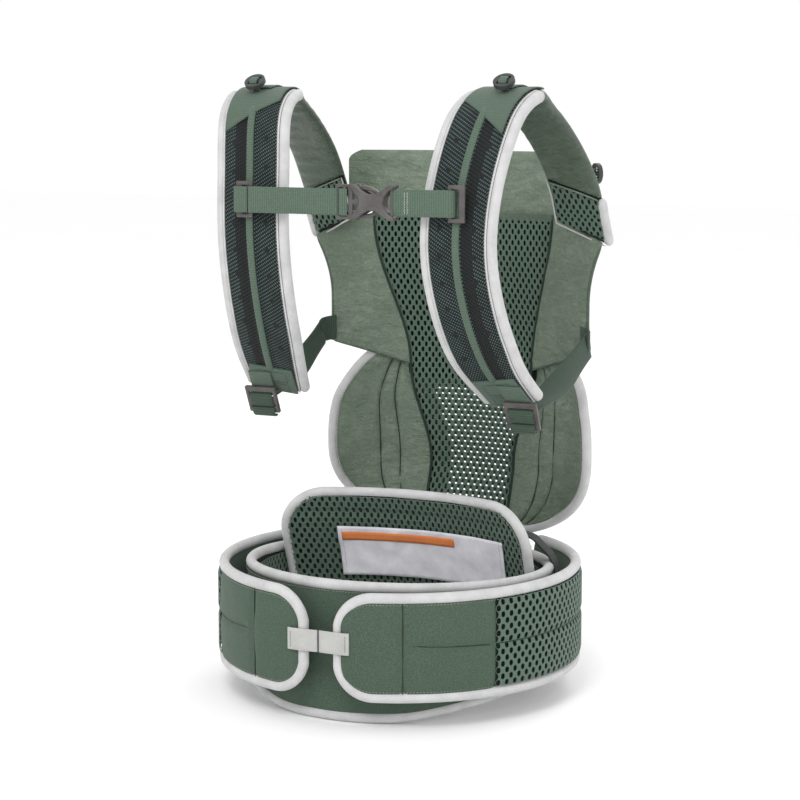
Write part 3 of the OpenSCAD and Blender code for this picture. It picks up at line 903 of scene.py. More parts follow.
def make_wing(name, side):
    body = f"wing_{name}"
    angle = wing_angles()[None]
    share = np.sin(np.linspace(-1, 1, 47) * math.pi / 2)[:, None]
    z = WING_MID + wing_half(angle) * share
    mid = mirrored(ring_point(WING_R, angle + 0 * z, z), side)
    normal = mirrored(np.broadcast_to(radial(angle), mid.shape), side)
    end = smooth((angle - WING_GAP) / 2.5)
    crown = 1.6 + 4.1 * dome(share, 5) * end
    sunk = 2.4 * smooth((angle - MESH_A) / 1.2) * smooth((0.99 - abs(share)) / 0.02)
    soft = wing_soft(mid) * dome(share, 9)
    front = crown * wing_relief(angle, z) + soft - sunk

    # Front faces beyond MESH_A lie behind the mesh and get near-black painted shade.
    def slots(faces, count):
        columns = np.array([f[0] % mid.shape[1] for f in faces[:count]])
        outer = np.where(angle[0, columns] > MESH_A, 2, 0)
        return np.concatenate([outer, np.ones(len(faces) - count)])

    piece = pad(f"{body}_cover", mid, normal, front, crown, [HEATHER, HEATHER, HOLE_SHADE], slots=slots)
    put(piece, body, "forest_heather", body, fill=0.7)
    make_wing_mesh(body, side)
    make_wing_edge(name, body, side)
    make_wing_seams(body, side)
    make_wing_tab(name, body, side)


def make_wing_mesh(body, side):
    def place(a, b):
        t = np.maximum(np.degrees(a / WING_FACE_R), MESH_A + 0.2)
        b = np.clip(b, WING_Z + 3, WING_Z + WING_H - 3)
        edge = 3.2 * smooth((abs(b - WING_MID) - 38) / 9) + 1.8 * bump_at(b, WING_MID, 2.6)
        sink = edge + 1.6 * smooth((MESH_A + 2 - t) / 2)
        return mirrored(ring_point(WING_FACE_R - sink, t, b), side)

    start, stop = (math.radians(end) * WING_FACE_R for end in (MESH_A, WING_BACK - 1))
    face = net(f"{body}_mesh", place,
               lambda a, b: start < a < stop and abs(b - WING_MID) < WING_H / 2 - 3,
               (start, stop), (WING_Z, WING_Z + WING_H), pitch_a=9.6, pitch_b=6,
               hole=(2.1, 2.9))
    put(face, body, "forest_mesh")


def make_wing_edge(name, body, side):
    angle = wing_angles()
    top = ring_point(WING_R, angle[::-1], WING_MID + wing_half(angle[::-1]))
    low = ring_point(WING_R, angle, WING_MID - wing_half(angle))
    steps = np.linspace(1, -1, 14)[1:-1] * wing_half(WING_GAP)
    end_line = ring_point(WING_R, WING_GAP, WING_MID + steps)
    outline = mirrored(np.vstack([top, end_line, low]), side)
    bind_edge(f"wing_binding_{name}", outline, unit(outline * LEVEL), body, f"wing_binding_{name}")
    lip_angle = np.maximum(angle, WING_GAP + 1.9)
    lip_half = wing_half(lip_angle) - BIND * 1.1
    lip = np.vstack([ring_point(WING_R + 3.4, lip_angle[::-1], WING_MID + lip_half[::-1]),
                     ring_point(WING_R + 3.4, lip_angle, WING_MID - lip_half)])
    lip = mirrored(lip, side)
    sew(f"{body}_stitches", lip, unit(lip * LEVEL), body)


def make_wing_seams(body, side):
    """The upright seam, the dart beside it and the fold along the mesh, drawn as thin dark lines:
    painted shade in their grooves.
    """
    seam_z = WING_MID + np.linspace(-0.94, 0.94, 24) * wing_half(SEAM_A)
    seam = mirrored(ring_point(WING_R + 3.2, SEAM_A, seam_z), side)
    dart_angle = np.linspace(SEAM_A + 3, MESH_A - 0.6, 24)
    dart_z = dart_height(dart_angle)
    soft = wing_soft(mirrored(ring_point(WING_R, dart_angle, dart_z), side))
    dart_r = WING_R + 0.2 + 5.7 * wing_relief(dart_angle, dart_z) + soft
    dart = mirrored(ring_point(dart_r, dart_angle, dart_z), side)
    fold_angle = np.linspace(MESH_A + 1, WING_BACK - 3, 60)
    fold = mirrored(ring_point(WING_FACE_R - 1.2, fold_angle, WING_MID + 0 * fold_angle), side)
    for label, line in (("seam", seam), ("dart", dart), ("fold", fold)):
        put(tube(f"{body}_{label}", line, 0.65, SEAM_AND_SHADE, unit(line * LEVEL), sides=6), body,
            "forest_heather")


def make_wing_tab(name, body, side):
    tab_angle = np.array([0.3, 1.2, 2.4, 3.6, 5.0, 6.4, 7.8, 9.2, 10.0])
    lift = WING_R + np.array([4.6, 5.2, 5.6, 6.0, 6.6, 7.2, 7.6, 7.7, 7.4])
    path = mirrored(ring_point(lift, tab_angle, TAB_Z), side)
    tab = strip(f"wing_tab_{name}_cover", path, [0, 0, 1], unit(path * LEVEL), 21, 1.7, TAB)
    put(tab, body, "grey_piping", f"wing_tab_{name}")
    hem = mirrored(ring_point(WING_R + 8.7, 8.9, TAB_Z + np.linspace(-9, 9, 8)), side)
    sew(f"wing_tab_{name}_stitches", hem, unit(hem * LEVEL), body, pitch=2.6)


# ---- child panel
def panel_half(z):
    flare = np.clip((z - WAIST_Z) / (CORNER_Z - WAIST_Z), 0, 1) ** 2
    return SIDE_W + (CORNER_W - SIDE_W) * flare + 4 * np.clip((SIDE_LOW + 32 - z) / 34, 0, 1) ** 2


def panel_side_top(u):
    return PANEL_TOP - (PANEL_TOP - CORNER_Z) * u ** 1.5


def mesh_half(z):
    upper = lerp(MESH_MID_W, MESH_TOP_W, smooth((z - MESH_MID_Z) / (PANEL_TOP - MESH_MID_Z)))
    lower = lerp(MESH_LOW_W, MESH_MID_W, smooth((z - 200) / (MESH_MID_Z - 200)))
    return np.where(z > MESH_MID_Z, upper, lower)


def oval(u, power):
    return np.maximum(0, 1 - np.abs(u) ** power) ** (1 / power)


def seat_half(z):
    return SEAT_W * np.where(z > SEAT_MID, oval((z - SEAT_MID) / 125, 2.6),
                             oval((SEAT_MID - z) / (SEAT_MID - SEAT_LOW + 2), 2.4))


def panel_y(x, z):
    bow = (lerp(26, SEAT_DEPTH, smooth((CORNER_Z - z) / 130))
           * lerp(0.4, 1, smooth((z - SEAT_LOW) / 70)))
    return (PANEL_EDGE_Y + 8 * smooth((190 - z) / 60)
            + bow * (1 - np.clip(np.abs(x) / SEAT_W, 0, 1.1) ** 2))


def on_panel(x, z, back):
    return xyz(x, panel_y(x, z) + back, z)


def seat_back(z):
    return 8 * smooth((z - 262) / 34)


def seat_z(share):
    """Heights up the seat, closer together at both ends."""
    return SEAT_LOW + 2 + (SEAT_TOP - SEAT_LOW - 2) * (1 - np.cos(share * math.pi)) / 2


def seat_inner(z):
    return np.minimum(mesh_half(z), seat_half(z) - 4)


def low_edge(share):
    """The lower edge of a panel side, from the mesh outwards."""
    return lerp(MESH_MID_Z, SIDE_LOW, share)


def make_panel_side(name, side):
    u = np.linspace(0, 1, 41)[None]
    v = np.linspace(0, 1, 61)[:, None]
    z = lerp(low_edge(u), panel_side_top(u), v)
    x = lerp(mesh_half(z) - 1, panel_half(z) - 1, u)
    mid = mirrored(on_panel(x, z, PANEL_T / 2), side)
    normal = grid_normals(mid) * side
    crown = dome(2 * u - 1, 10) * dome(2 * v - 1, 12)
    fan = 1.1 * ripple(mid * [0.4, 1, 1.6], 16, 31) * smooth((0.5 - v) / 0.5)
    pucker = 0.9 * ripple(mid * [0.2, 1, 1.3], 9, 33) * smooth((u - 0.72) / 0.28)
    hem = 1.0 * bump_at(u, 0.93, 0.018) + 0.9 * bump_at(v, 0.05, 0.012)
    front = 1.4 + (2.2 + fan + pucker + 0.5 * ripple(mid, 30, 32) - hem) * crown
    piece = pad(f"panel_{name}_cover", mid, normal, front, 1.4 + 1.6 * crown, [SAGE, SAGE_SHADED])
    put(piece, "panel", "sage_nylon", f"panel_{name}", fill=0.4)
    z_down = np.linspace(CORNER_Z - 2, SIDE_LOW + 4, 26)
    across = np.linspace(1, 0, 14)[1:]
    z_low = low_edge(across) + 1
    x = np.concatenate([panel_half(z_down), lerp(mesh_half(z_low), panel_half(z_low), across)]) - 1
    edge = mirrored(on_panel(x, np.concatenate([z_down, z_low]), PANEL_T / 2), side)
    # A cord of the darker nylon copy along the panel's edge: painted shade at the hem.
    put(tube(f"panel_{name}_edge", edge, 1.9, SAGE_SHADED, [0, 1, 0], sides=8), "panel",
        "sage_nylon")


def make_panel_mesh():
    weave = {"thick": 1.1, "pitch_a": 7.2, "pitch_b": 5.7}

    def place(a, b):
        half = mesh_half(b) + 1
        a = np.clip(a, -half, half)
        return on_panel(a, np.clip(b, SEAT_LOW + 5, PANEL_TOP - 1), 1.6)

    reach = (-MESH_TOP_W - 8, MESH_TOP_W + 8)
    face = net("panel_mesh_cover", place, lambda a, b: abs(a) < mesh_half(b) + 2, reach,
               (SEAT_LOW + 5, PANEL_TOP), **weave)
    put(face, "panel", "forest_mesh", "panel_mesh")
    # The inner layer of the mesh in a darker lattice copy: painted shade inside the mesh.
    inner = net("panel_mesh_inner", lambda a, b: place(a + 1.6, b + 1.2) + [0, 4.2, 0],
                lambda a, b: abs(a) < mesh_half(b) - 2 and b < SHEER_TOP + 3, reach,
                (SEAT_LOW + 8, PANEL_TOP), LATTICE_SHADED, hole=(1.95, 3.0), **weave)
    put(inner, "panel", "forest_mesh")
    # Near-black sheets behind the mesh, above SHEER_TOP and along its edges: painted shade seen
    # through the holes.
    share = np.linspace(-1, 1, 31)[None]
    z = np.linspace(SHEER_TOP - 3, PANEL_TOP - 1, 25)[:, None]
    mesh_shade = shade_sheet("panel_mesh_shade_sheet", (mesh_half(z) + 5) * share, z)
    put(mesh_shade, "panel", "forest_mesh")
    z = np.linspace(SEAT_LOW + 6, SHEER_TOP, 30)[:, None]
    share = np.linspace(0, 1, 6)[None]
    for name, side in SIDES.items():
        x = side * (mesh_half(z) + 7 - (15 if side > 0 else 26) * share)
        put(shade_sheet(f"panel_mesh_edge_shade_{name}", x, z), "panel", "forest_mesh")
        # A dark line along the mesh's seam: a real seam, darkened as painted shade.
        z_seam = np.linspace(SEAT_LOW + 6, PANEL_TOP - 1, 60)
        seam = mirrored(on_panel(mesh_half(z_seam), z_seam, 0.4), side)
        put(tube(f"panel_mesh_seam_{name}", seam, 1.5, SEAM_AND_SHADE, [0, 1, 0], sides=8), "panel",
            "forest_mesh")


def shade_sheet(name, x, z):
    """A thin near-black sheet behind the panel's mesh: painted shade seen through its holes."""
    mid = on_panel(x, z, 7.4)
    normal = grid_normals(mid)
    normal *= -np.sign(normal[..., 1:2])
    return cloth(name, mid, normal, 0.6, HOLE_SHADE, SAGE_SHADED)


def make_seat_side(name, side):
    u = np.linspace(0, 1, 61)[None]
    v = np.linspace(0, 1, 61)[:, None]
    z = seat_z(v)
    x = lerp(seat_inner(z), seat_half(z) - 1, u)
    mid = mirrored(on_panel(x, z, seat_back(z) + 2.6), side)
    normal = grid_normals(mid) * side
    crown = dome(2 * u - 1, 8) * dome(2 * v - 1, 12)
    pleats = sum(bump_at(u, pleat_share(k, v), 0.026) for k in (0, 1))
    wrinkle = 0.6 * ripple(mid * [0.5, 1, 1.2], 15, 41) + 0.5 * ripple(mid, 34, 42)
    front = 1.2 + crown * (2.6 + wrinkle * smooth((u - 0.1) / 0.3) - 2.4 * pleats)
    piece = pad(f"seat_{name}_cover", mid, normal, front, 1.2 + 1.2 * crown, [SAGE, SAGE_SHADED])
    put(piece, "panel", "sage_nylon", f"seat_{name}", fill=0.4)
    # Thin dark lines in the two pleats: painted shade in their grooves.
    t = np.linspace(0.12, 0.9, 40)
    z = seat_z(t)
    for k in (0, 1):
        x = lerp(seat_inner(z), seat_half(z) - 1, pleat_share(k, t))
        line = mirrored(on_panel(x, z, seat_back(z) + 0.7), side)
        put(tube(f"seat_{name}_pleat_{k}", line, 0.7, SEAM_AND_SHADE, [0, 1, 0], sides=6), "panel",
            "sage_nylon")


def pleat_share(k, v):
    """Where pleat k of the seat lies across it, from the mesh outwards."""
    return 0.42 + 0.22 * k - (0.2 + 0.04 * k) * v


def make_seat_binding():
    z = seat_z(np.linspace(0, 1, 60))
    side = on_panel(seat_half(z), z, seat_back(z) + PANEL_T / 2)
    low = np.linspace(side[0], side[0] * [-1, 1, 1], 14)[1:-1]
    outline = np.vstack([side[::-1], low, mirrored(side, -1)])
    bind_edge("seat_binding", outline, [0, 1, 0], "panel", "seat_binding")
    outward = unit((outline - [0, 0, SEAT_MID]) * [1, 0, 1])
    lip = outline - outward * BIND * 1.1 - [0, BIND * 0.72, 0]
    sew("seat_binding_stitches", lip, [0, -1, 0], "panel")


def head_y(x):
    return HEAD_Y + HEAD_BOW * (1 - (x / HEAD_W) ** 2) + HEAD_T / 2


def make_headrest():
    share = np.sin(np.linspace(-1, 1, 71) * math.pi / 2)[None]
    v = np.linspace(0, 1, 41)[:, None]
    z = lerp(HEAD_LOW + 1, HEAD_TOP - 1, v)
    half = HEAD_W - 13 * np.clip((v - 0.82) / 0.18, 0, 1) ** 2.4
    x = half * share
    mid = xyz(x, head_y(x), z)
    normal = grid_normals(mid)
    crown = dome(share, 9) * dome(2 * v - 1, 7)
    wrinkle = 1.3 * ripple(mid * [1, 1, 1.8], 34, 51) + 0.45 * ripple(mid * [0.6, 1, 1], 9, 52)
    front = 1.2 + crown * (4.2 + wrinkle)
    piece = pad("headrest_cover", mid, normal, front, 1.2 + 3.4 * crown, [SAGE, SAGE_SHADED])
    put(piece, "headrest", "sage_nylon", "headrest", fill=0.5)
    make_headrest_fold()


def make_headrest_fold():
    """The cloth that bends where the headrest folds over the panel, in the darker nylon copy:
    painted shade in the fold.
    """
    x = np.linspace(-MESH_TOP_W - 2, MESH_TOP_W + 2, 50)[None]
    z = np.linspace(PANEL_TOP - 4, HEAD_LOW + 4, 6)[:, None]
    mid = xyz(x, lerp(panel_y(x, z) + PANEL_T / 2, head_y(x), (z - z[0]) / (z[-1] - z[0])), z)
    fold = cloth("headrest_fold", mid, grid_normals(mid), 1.6, SAGE_SHADED)
    row(0, HEAD_FOLD_Y, PANEL_TOP - 2)
    row(0, HEAD_FOLD_Y, HEAD_LOW + 3)
    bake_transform(fold)
    declare(fold, "sage_nylon")


# ---- shoulder straps
def strap_curve(s):
    """The strap's middle line; below zero it runs straight on into the panel."""
    below = np.minimum(np.asarray(s, float), 0)[..., None]
    s = np.clip(np.asarray(s, float), 0, STRAP_END)
    i = np.minimum(s.astype(int), STRAP_END - 1)
    t = (s - i)[..., None]
    a, b, c, d = (STRAP_PATH[np.clip(i + k, 0, STRAP_END)] for k in (-1, 0, 1, 2))
    inside = 0.5 * (2 * b + (c - a) * t + (2 * a - 5 * b + 4 * c - d) * t ** 2
                    + (3 * b - a - 3 * c + d) * t ** 3)
    return inside + below * (STRAP_PATH[1] - STRAP_PATH[0])


def strap_axes(s):
    s = np.clip(np.asarray(s, float), 0, STRAP_END)
    ahead, behind = np.minimum(s + 0.02, STRAP_END), np.maximum(s - 0.02, 0)
    along = unit(strap_curve(ahead) - strap_curve(behind))
    out = unit(np.cross(along, [1.0, 0, 0]))
    return np.cross(out, along), out


def strap_point(s, w, n, side):
    across, out = strap_axes(s)
    w, n = np.asarray(w, float)[..., None], np.asarray(n, float)[..., None]
    return mirrored(strap_curve(s) + w * across + n * out, side)


def strap_half(s):
    return STRAP_W / 2 - 5 * smooth((s - 8.6) / 1.4) - 8 * smooth(4.2 - s)


def strap_strip(name, s0, s1, side, material, width, out, thick, crown=0.0):
    """Webbing down the middle of a strap from s0 to s1, out mm above its middle line."""
    s = np.arange(s0, s1 + 0.05, 0.1)
    across, up = strap_axes(s)
    return strip(name, strap_point(s, 0 * s, 0 * s + out, side), mirrored(across, side),
                 mirrored(up, side), width, thick, material, crown)


def bend_strap(piece, name, slot, *nodes, fill=None):
    """For a piece that crosses the top of the shoulder, from the panel to the strap."""
    row(0, HINGE_Y + 25, SHOULDER_Z)
    row(0, HINGE_Y - 25, SHOULDER_Z)
    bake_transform(piece)
    return declare(piece, slot, *nodes, fill=fill)


SLEEVE_S, FACE_S = 0.95, 4.15  # where the sleeve begins and where the strap's face begins
SLEEVE_SKEW = 0.3  # how much further the sleeve reaches down on the outer side


def strap_foot(share):
    """How far the strap runs on below its start, longer at the panel's corner."""
    return lerp(0.12, 0.9, (share + 1) / 2)


def sleeve_start(share):
    return SLEEVE_S - SLEEVE_SKEW * share


def make_strap(name, side):
    foot, rest = np.arange(-1, 0, 0.1), np.arange(0, STRAP_END, 0.05)
    s = np.concatenate([foot, rest, [STRAP_END]])[:, None]
    share = np.linspace(-1, 1, 29)[None]
    face = smooth((s - FACE_S + 0.15) / 0.3)
    w = (strap_half(s) - 1.5 * face) * share
    s_real = np.where(s < 0, s * strap_foot(share), s + 0 * w)
    mid = strap_point(s_real, w, 0 * w, side)
    normal = mirrored(strap_axes(s_real)[1], side)
    start = sleeve_start(share)
    sleeve = smooth((s - start) / 0.2) * (1 - face)
    ends = smooth((s + 1.1) / 0.3) * np.minimum(1, smooth((STRAP_END - s) / 0.12) + 0.3)
    crown = np.sqrt(dome(share, lerp(3.2, 7, face))) * ends
    wrinkle = 1.1 * ripple(mid * [0.4, 1.3, 1.3], 13, 61) + 0.9 * ripple(mid, 40, 62)
    gutter = 0.9 * (bump_at(w, 8, 2.2) + bump_at(w, -8, 2.2)) * face
    join = 1.6 * bump_at(s, start, 0.05)
    front = 1.2 + crown * (5.0 - gutter + sleeve * wrinkle - join)
    back = 1.2 + crown * (4.8 + sleeve * wrinkle - join - 1.6 * (1 - face) * (1 - sleeve))

    # Outer face: black mesh, the sleeve's shaded nylon below FACE_S, and a darker mesh copy in the
    # grooves beside the rail, both painted shade. Inner face: near-black painted shade behind the
    # sleeve's mesh, elsewhere the shaded sleeve nylon.
    def slots(faces, count):
        first = np.array([f[0] for f in faces[:count]])
        near, column = s[first // mid.shape[1], 0], first % mid.shape[1]
        groove_shade = (column > 15) & (column < 21)
        outer = np.where(near < FACE_S, 1, np.where(groove_shade, 3, 0))
        inner = np.where(near < start[0, column], 2, 1)
        return np.concatenate([outer, inner, np.ones(len(faces) - 2 * count)])

    cover = pad(f"strap_{name}_cover", mid, normal, front, back,
                [BLACK_MESH, SAGE_SLEEVE_SHADED, HOLE_SHADE, BLACK_MESH_SHADED], slots=slots)
    bend_strap(cover, name, "black_mesh", f"strap_pad_{name}", f"sleeve_{name}", fill=0.6)
    make_strap_bindings(name, side)
    make_sleeve_corner(name, side)
    make_strap_webbing(name, side)
    make_eyelets(name, side)


def make_strap_bindings(name, side):
    fine = np.linspace(FACE_S - 0.1, STRAP_END, 120)
    out = mirrored(strap_axes(fine)[1], side)
    for edge, label, nodes in ((1, "outer", [f"strap_binding_{name}"]), (-1, "inner", [])):
        path = strap_point(fine, edge * (strap_half(fine) - 0.5), 0 * fine, side)
        wide = tube(f"strap_binding_{name}_{label}", path, 4.9, PIPING, out, flat=1.2)
        put(wide, f"strap_{name}", "grey_piping", *nodes)
        lip = strap_point(fine, edge * (strap_half(fine) - 4.8), 0 * fine + 4.9, side)
        put(tube(f"strap_lip_{name}_{label}", lip, 1.1, PIPING, out, sides=6), f"strap_{name}",
            "grey_piping")
        seam = strap_point(fine, edge * (strap_half(fine) - 6.1), 0 * fine + 5.5, side)
        sew(f"strap_{name}_stitches_{label}", seam, out, f"strap_{name}")


def make_sleeve_corner(name, side):
    """The open mesh where a strap meets the panel's corner, on the wearer's side."""
    length = np.linalg.norm(STRAP_PATH[1] - STRAP_PATH[0])

    def foot(a):
        return -0.78 * strap_foot(a / strap_half(0))

    def head(a):
        return sleeve_start(a / strap_half(0))

    def place(a, b):
        s = np.clip(b / length, foot(a), head(a))
        half = strap_half(s) - 2
        return strap_point(s, np.clip(a, -half, half), 0 * a - 5.2, side)

    corner = net(f"sleeve_{name}_mesh", place,
                 lambda a, b: abs(a) < 25 and foot(a) < b / length < head(a),
                 (-27, 27), (-34, 50))
    put(corner, "panel", "forest_mesh")
    t = np.linspace(head(26), -strap_foot(1.0), 24)
    outer = strap_point(t, strap_half(t), 0 * t - 1, side)
    bind = tube(f"sleeve_binding_{name}_cover", outer, 5.0, PIPING, strap_axes(t)[1])
    put(bind, "panel", "grey_piping", f"sleeve_binding_{name}")
    drop = np.linspace(sleeve_start(-1), -strap_foot(-1), 16)
    across = np.linspace(-0.94, 0.9, 18)
    lower_s = np.concatenate([drop, -strap_foot(across)])
    lower_w = np.concatenate([1 - strap_half(drop), across * strap_half(0)])
    upper_w = np.linspace(-0.94, 0.94, 18)
    for label, s, w, look in (("lower", lower_s, lower_w, TAB),
                              ("upper", sleeve_start(upper_w), upper_w * strap_half(1), SAGE)):
        cord = strap_point(s, w, np.full(len(s), -5.8), side)
        put(tube(f"sleeve_cord_{name}_{label}", cord, 0.9, look, strap_axes(s)[1], sides=8),
            "panel", "grey_piping")


def make_strap_webbing(name, side):
    body = f"strap_{name}"
    rail = strap_strip(f"strap_rail_{name}_cover", 4.9, 9.3, side, WEBBING, width=7, out=6.9,
                       thick=1.8, crown=0.8)
    put(rail, body, "green_webbing", f"strap_rail_{name}")
    make_patches(name, side)
    sling = strap_strip(f"sling_{name}_cover", 2.3, 4.3, side, WEBBING, width=19, out=9.4,
                        thick=1.5)
    bend_strap(sling, name, "green_webbing", f"sling_{name}")


def make_patches(name, side):
    """The woven patches at the top and the bottom of a strap's face."""
    body = f"strap_{name}"
    share = np.linspace(-1, 1, 21)[None]
    w = 26.5 * share
    s = lerp(3.75, 5.06 + 0.24 * share, np.linspace(0, 1, 24)[:, None])
    mid = strap_point(s, w + 0 * s, 7.4 + 0.25 * ripple(xyz(w, 12 * s, 0 * s), 16, 71), side)
    top = cloth(f"patch_top_{name}_cover", mid, mirrored(strap_axes(s)[1], side), 0.7, PATCH)
    put(top, body, "green_webbing", f"patch_top_{name}")
    low = strap_strip(f"patch_bottom_{name}_cover", 9.3, STRAP_END, side, PATCH, width=46,
                      out=6.8, thick=1.6)
    put(low, body, "green_webbing", f"patch_bottom_{name}")
    for label, s0, s1 in (("upper", 9.38, 9.62), ("lower", 9.68, 9.95)):
        s, w = resample([(s0, -15), (s0, 15), (s1, 15), (s1, -15), (s0, -15)], 29).T
        box = strap_point(s, w, np.full(len(s), 7.9), side)
        sew(f"patch_{name}_box_{label}", box, mirrored(strap_axes(s)[1], side), body,
            "green_webbing", pitch=2.4, length=1.7, radius=0.3, material=SEAM_AND_SHADE)


def make_eyelets(name, side):
    """Small round eyelets in two rows down the face of a strap."""
    points, faces = [], []
    angle = np.arange(10) * 2 * math.pi / 10
    profile = [(3.1, -0.2), (2.6, 0.5), (1.2, 0.6), (0.9, 0.1)]
    for s in np.arange(5.5, 9.2, 0.42):
        across, out = strap_axes(s)
        along = np.cross(across, out)
        for w in (-17, 17):
            centre = strap_curve(s) + across * w + out * 6.1
            base = len(points)
            for r, h in profile:
                points += [centre + out * h + r * (across * math.cos(k) + along * math.sin(k))
                           for k in angle]
            faces += grid_quads(len(profile), len(angle), True, base)
            faces.append([base + 30 + j for j in range(10)])
    piece = make_mesh(f"strap_{name}_eyelets", mirrored(points, side), faces, [ELASTIC])
    put(piece, f"strap_{name}", "black_mesh")


# ---- webbing and plastic parts
LOCK_S, LOCK_TILT = 9.7, 25.0


def lock_middle():
    across, out = strap_axes(LOCK_S)
    pivot = strap_curve(LOCK_S) + 16 * across + (STRAP_T / 2 + 4) * out
    return pivot - 19 * lock_up()


def lock_up():
    tilt = math.radians(LOCK_TILT)
    return np.array([0, -math.sin(tilt), math.cos(tilt)])


def lock_web(name, label, turns, side):
    """Webbing threaded through a ladder lock; turns are (out of it, up along it) in mm."""
    path = relax(resample(turns, 5 * len(turns)))
    slope = unit(np.gradient(path, axis=0))
    up = lock_up()
    out = np.cross([1.0, 0, 0], up)
    points = lock_middle() + path[:, :1] * out + path[:, 1:] * up
    normal = slope[:, 1:] * out - slope[:, :1] * up
    # The webbing in its darker copy: painted shade.
    return strip(f"{label}_{name}", mirrored(points, side), [1, 0, 0], mirrored(normal, side),
                 WEB_W, WEB_T, WEBBING_SHADED)


def make_adjuster(name, side):
    start = lock_middle() + [0, 6.5, 4]
    t = np.linspace(0, 1, 36)
    path = lerp(start, ANCHOR, t[:, None]) - xyz(0, 0, 8 * np.sin(t * math.pi))
    turn = -side * np.radians(76) * smooth((t - 0.12) / 0.8)
    across = mirrored(xyz(np.cos(turn), 0 * t, np.sin(turn)), side)
    tangent = unit(np.gradient(mirrored(path, side), axis=0))
    normal = unit(np.cross(across, tangent)) * side
    # The webbing in its darker copy: painted shade where it runs behind the strap.
    web = strip(f"adjuster_{name}_cover", mirrored(path, side), across, normal, WEB_W, WEB_T,
                WEBBING_SHADED)
    row(0, 125, 340)
    row(0, -20, 290)
    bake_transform(web)
    declare(web, "green_webbing", f"adjuster_{name}")
    make_anchor(name, side)
    make_lock(name, side)


def make_anchor(name, side):
    """The folded webbing that holds an adjuster's far end at the panel."""
    anchor = ANCHOR + [[-12, 8.5, 5], [-6, 7, 4], [-2, 4.5, 3], [0.5, 1, 2], [0.5, -5, 0]]
    normal = mirrored(unit(np.array([[0, -1, 0], [0.2, -1, 0], [0.6, -0.8, 0], [1, -0.3, 0],
                                     [1, 0, 0]], float)), side)
    # The folded webbing in its darker copy: painted shade.
    flap = strip(f"anchor_web_{name}_cover", mirrored(anchor, side), [0, 0, 1], normal, 26, 2.6,
                 WEBBING_SHADED)
    put(flap, "panel", "green_webbing", f"anchor_web_{name}")


def make_lock(name, side):
    lock = bevelled(f"ladder_lock_{name}", 1.1, PLASTIC)
    put(lock, f"lock_{name}", "grey_plastic", f"ladder_lock_{name}")
    over = [(-3.4, 8.6), (-1, 7.2), (2.2, 5.6), (3.4, 3), (3.4, -2), (2.6, -5.4), (0, -7.4),
            (-3, -8)]
    put(lock_web(name, "lock_web", over, side), f"lock_{name}", "green_webbing")
    tail = [(-3.2, -7), (0, -8.8), (3, -10), (3.8, -13), (3.4, -16), (1.6, -18.4), (-1.4, -18.6)]
    put(lock_web(name, "lock_tail", tail, side), f"lock_{name}", "green_webbing")
    s = np.array([9.42, 9.5, 9.6, 9.7, 9.8, 9.9])
    held = strap_point(s, 0 * s + 13, np.array([8.2, 8.6, 9, 9.4, 9.6, 9.2]), side)
    hook = mirrored(lock_middle() + np.array([14.0, 8.0])[:, None] * lock_up(), side)
    path = np.vstack([held, hook + [0, 3.6, 0]])
    tangent = unit(np.gradient(path, axis=0))
    normal = unit(np.cross(tangent, [1.0, 0, 0]))
    web = strip(f"lock_hold_{name}", path, [1, 0, 0], normal, WEB_W, WEB_T, WEBBING)
    row(*path[4])
    row(*path[6])
    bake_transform(web)
    declare(web, "green_webbing")


def make_chest_strap():
    y, far = CHEST_Y - 2.2, -106
    left = np.linspace([far, y, CHEST_Z], [-9, y, CHEST_Z], 30)
    web = strip("chest_web_left_cover", left, [0, 0, 1], [0, -1, 0], WEB_W, WEB_T, WEBBING)
    put(web, "chest_left", "green_webbing", "chest_web_left")
    row(far, y, CHEST_Z)
    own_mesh(web)
    turn = [(-105, y), (-116, y), (-120.4, y + 1), (-121.8, y + 4), (-120.4, y + 6.6),
            (-115, y + 7), (-96, y + 6.6)]
    put(folded_web("chest_web_left_turn", turn), "chest_left", "green_webbing")
    over = [(46.4, y + 6), (45, y + 3), (45.8, y + 0.6), (48, y), (56, y), (80, y), (99, y),
            (104, y - 0.3), (107.6, y + 1.2), (109, y + 4.4), (107, y + 6.9), (100, y + 7),
            (88, y + 6.7)]
    put(folded_web("chest_web_right_cover", over), "chest_right", "green_webbing",
        "chest_web_right")
    for x in (60.5, 63.5):
        z = np.linspace(CHEST_Z - 11, CHEST_Z + 11, 19)
        zigzag = xyz(x + 0.9 * (-1.0) ** np.arange(19), y - 1.0, z)
        sew(f"chest_stitches_{int(x)}", zigzag, [0, -1, 0], "chest_right", "green_webbing",
            pitch=2.6, length=2.2, radius=0.3, material=PIPING)
    for name in SIDES:
        ring = bevelled(f"chest_slider_{name}", 1.2, PLASTIC)
        put(ring, f"chest_{name}", "grey_plastic", f"chest_slider_{name}")
    make_buckle()


def folded_web(name, turns):
    """Chest webbing folded through (x, y) points, WEB_W tall."""
    path = relax(resample(turns, 6 * len(turns)))
    tangent = unit(np.gradient(path, axis=0))
    normal = xyz(tangent[:, 1], -tangent[:, 0], 0)
    path = xyz(path[:, 0], path[:, 1], CHEST_Z)
    return strip(name, path, [0, 0, 1], normal, WEB_W, WEB_T, WEBBING)


def buckle_piece(name, outlines, front, back, width, body, *nodes):
    """A moulded part of the buckle; heights, front and back are mm from its middle."""
    shapes = [[(x, z + CHEST_Z) for x, z in outline] for outline in outlines]
    put(plate(name, shapes, CHEST_Y + front, CHEST_Y + back, width, PLASTIC), body,
        "grey_plastic", *nodes)


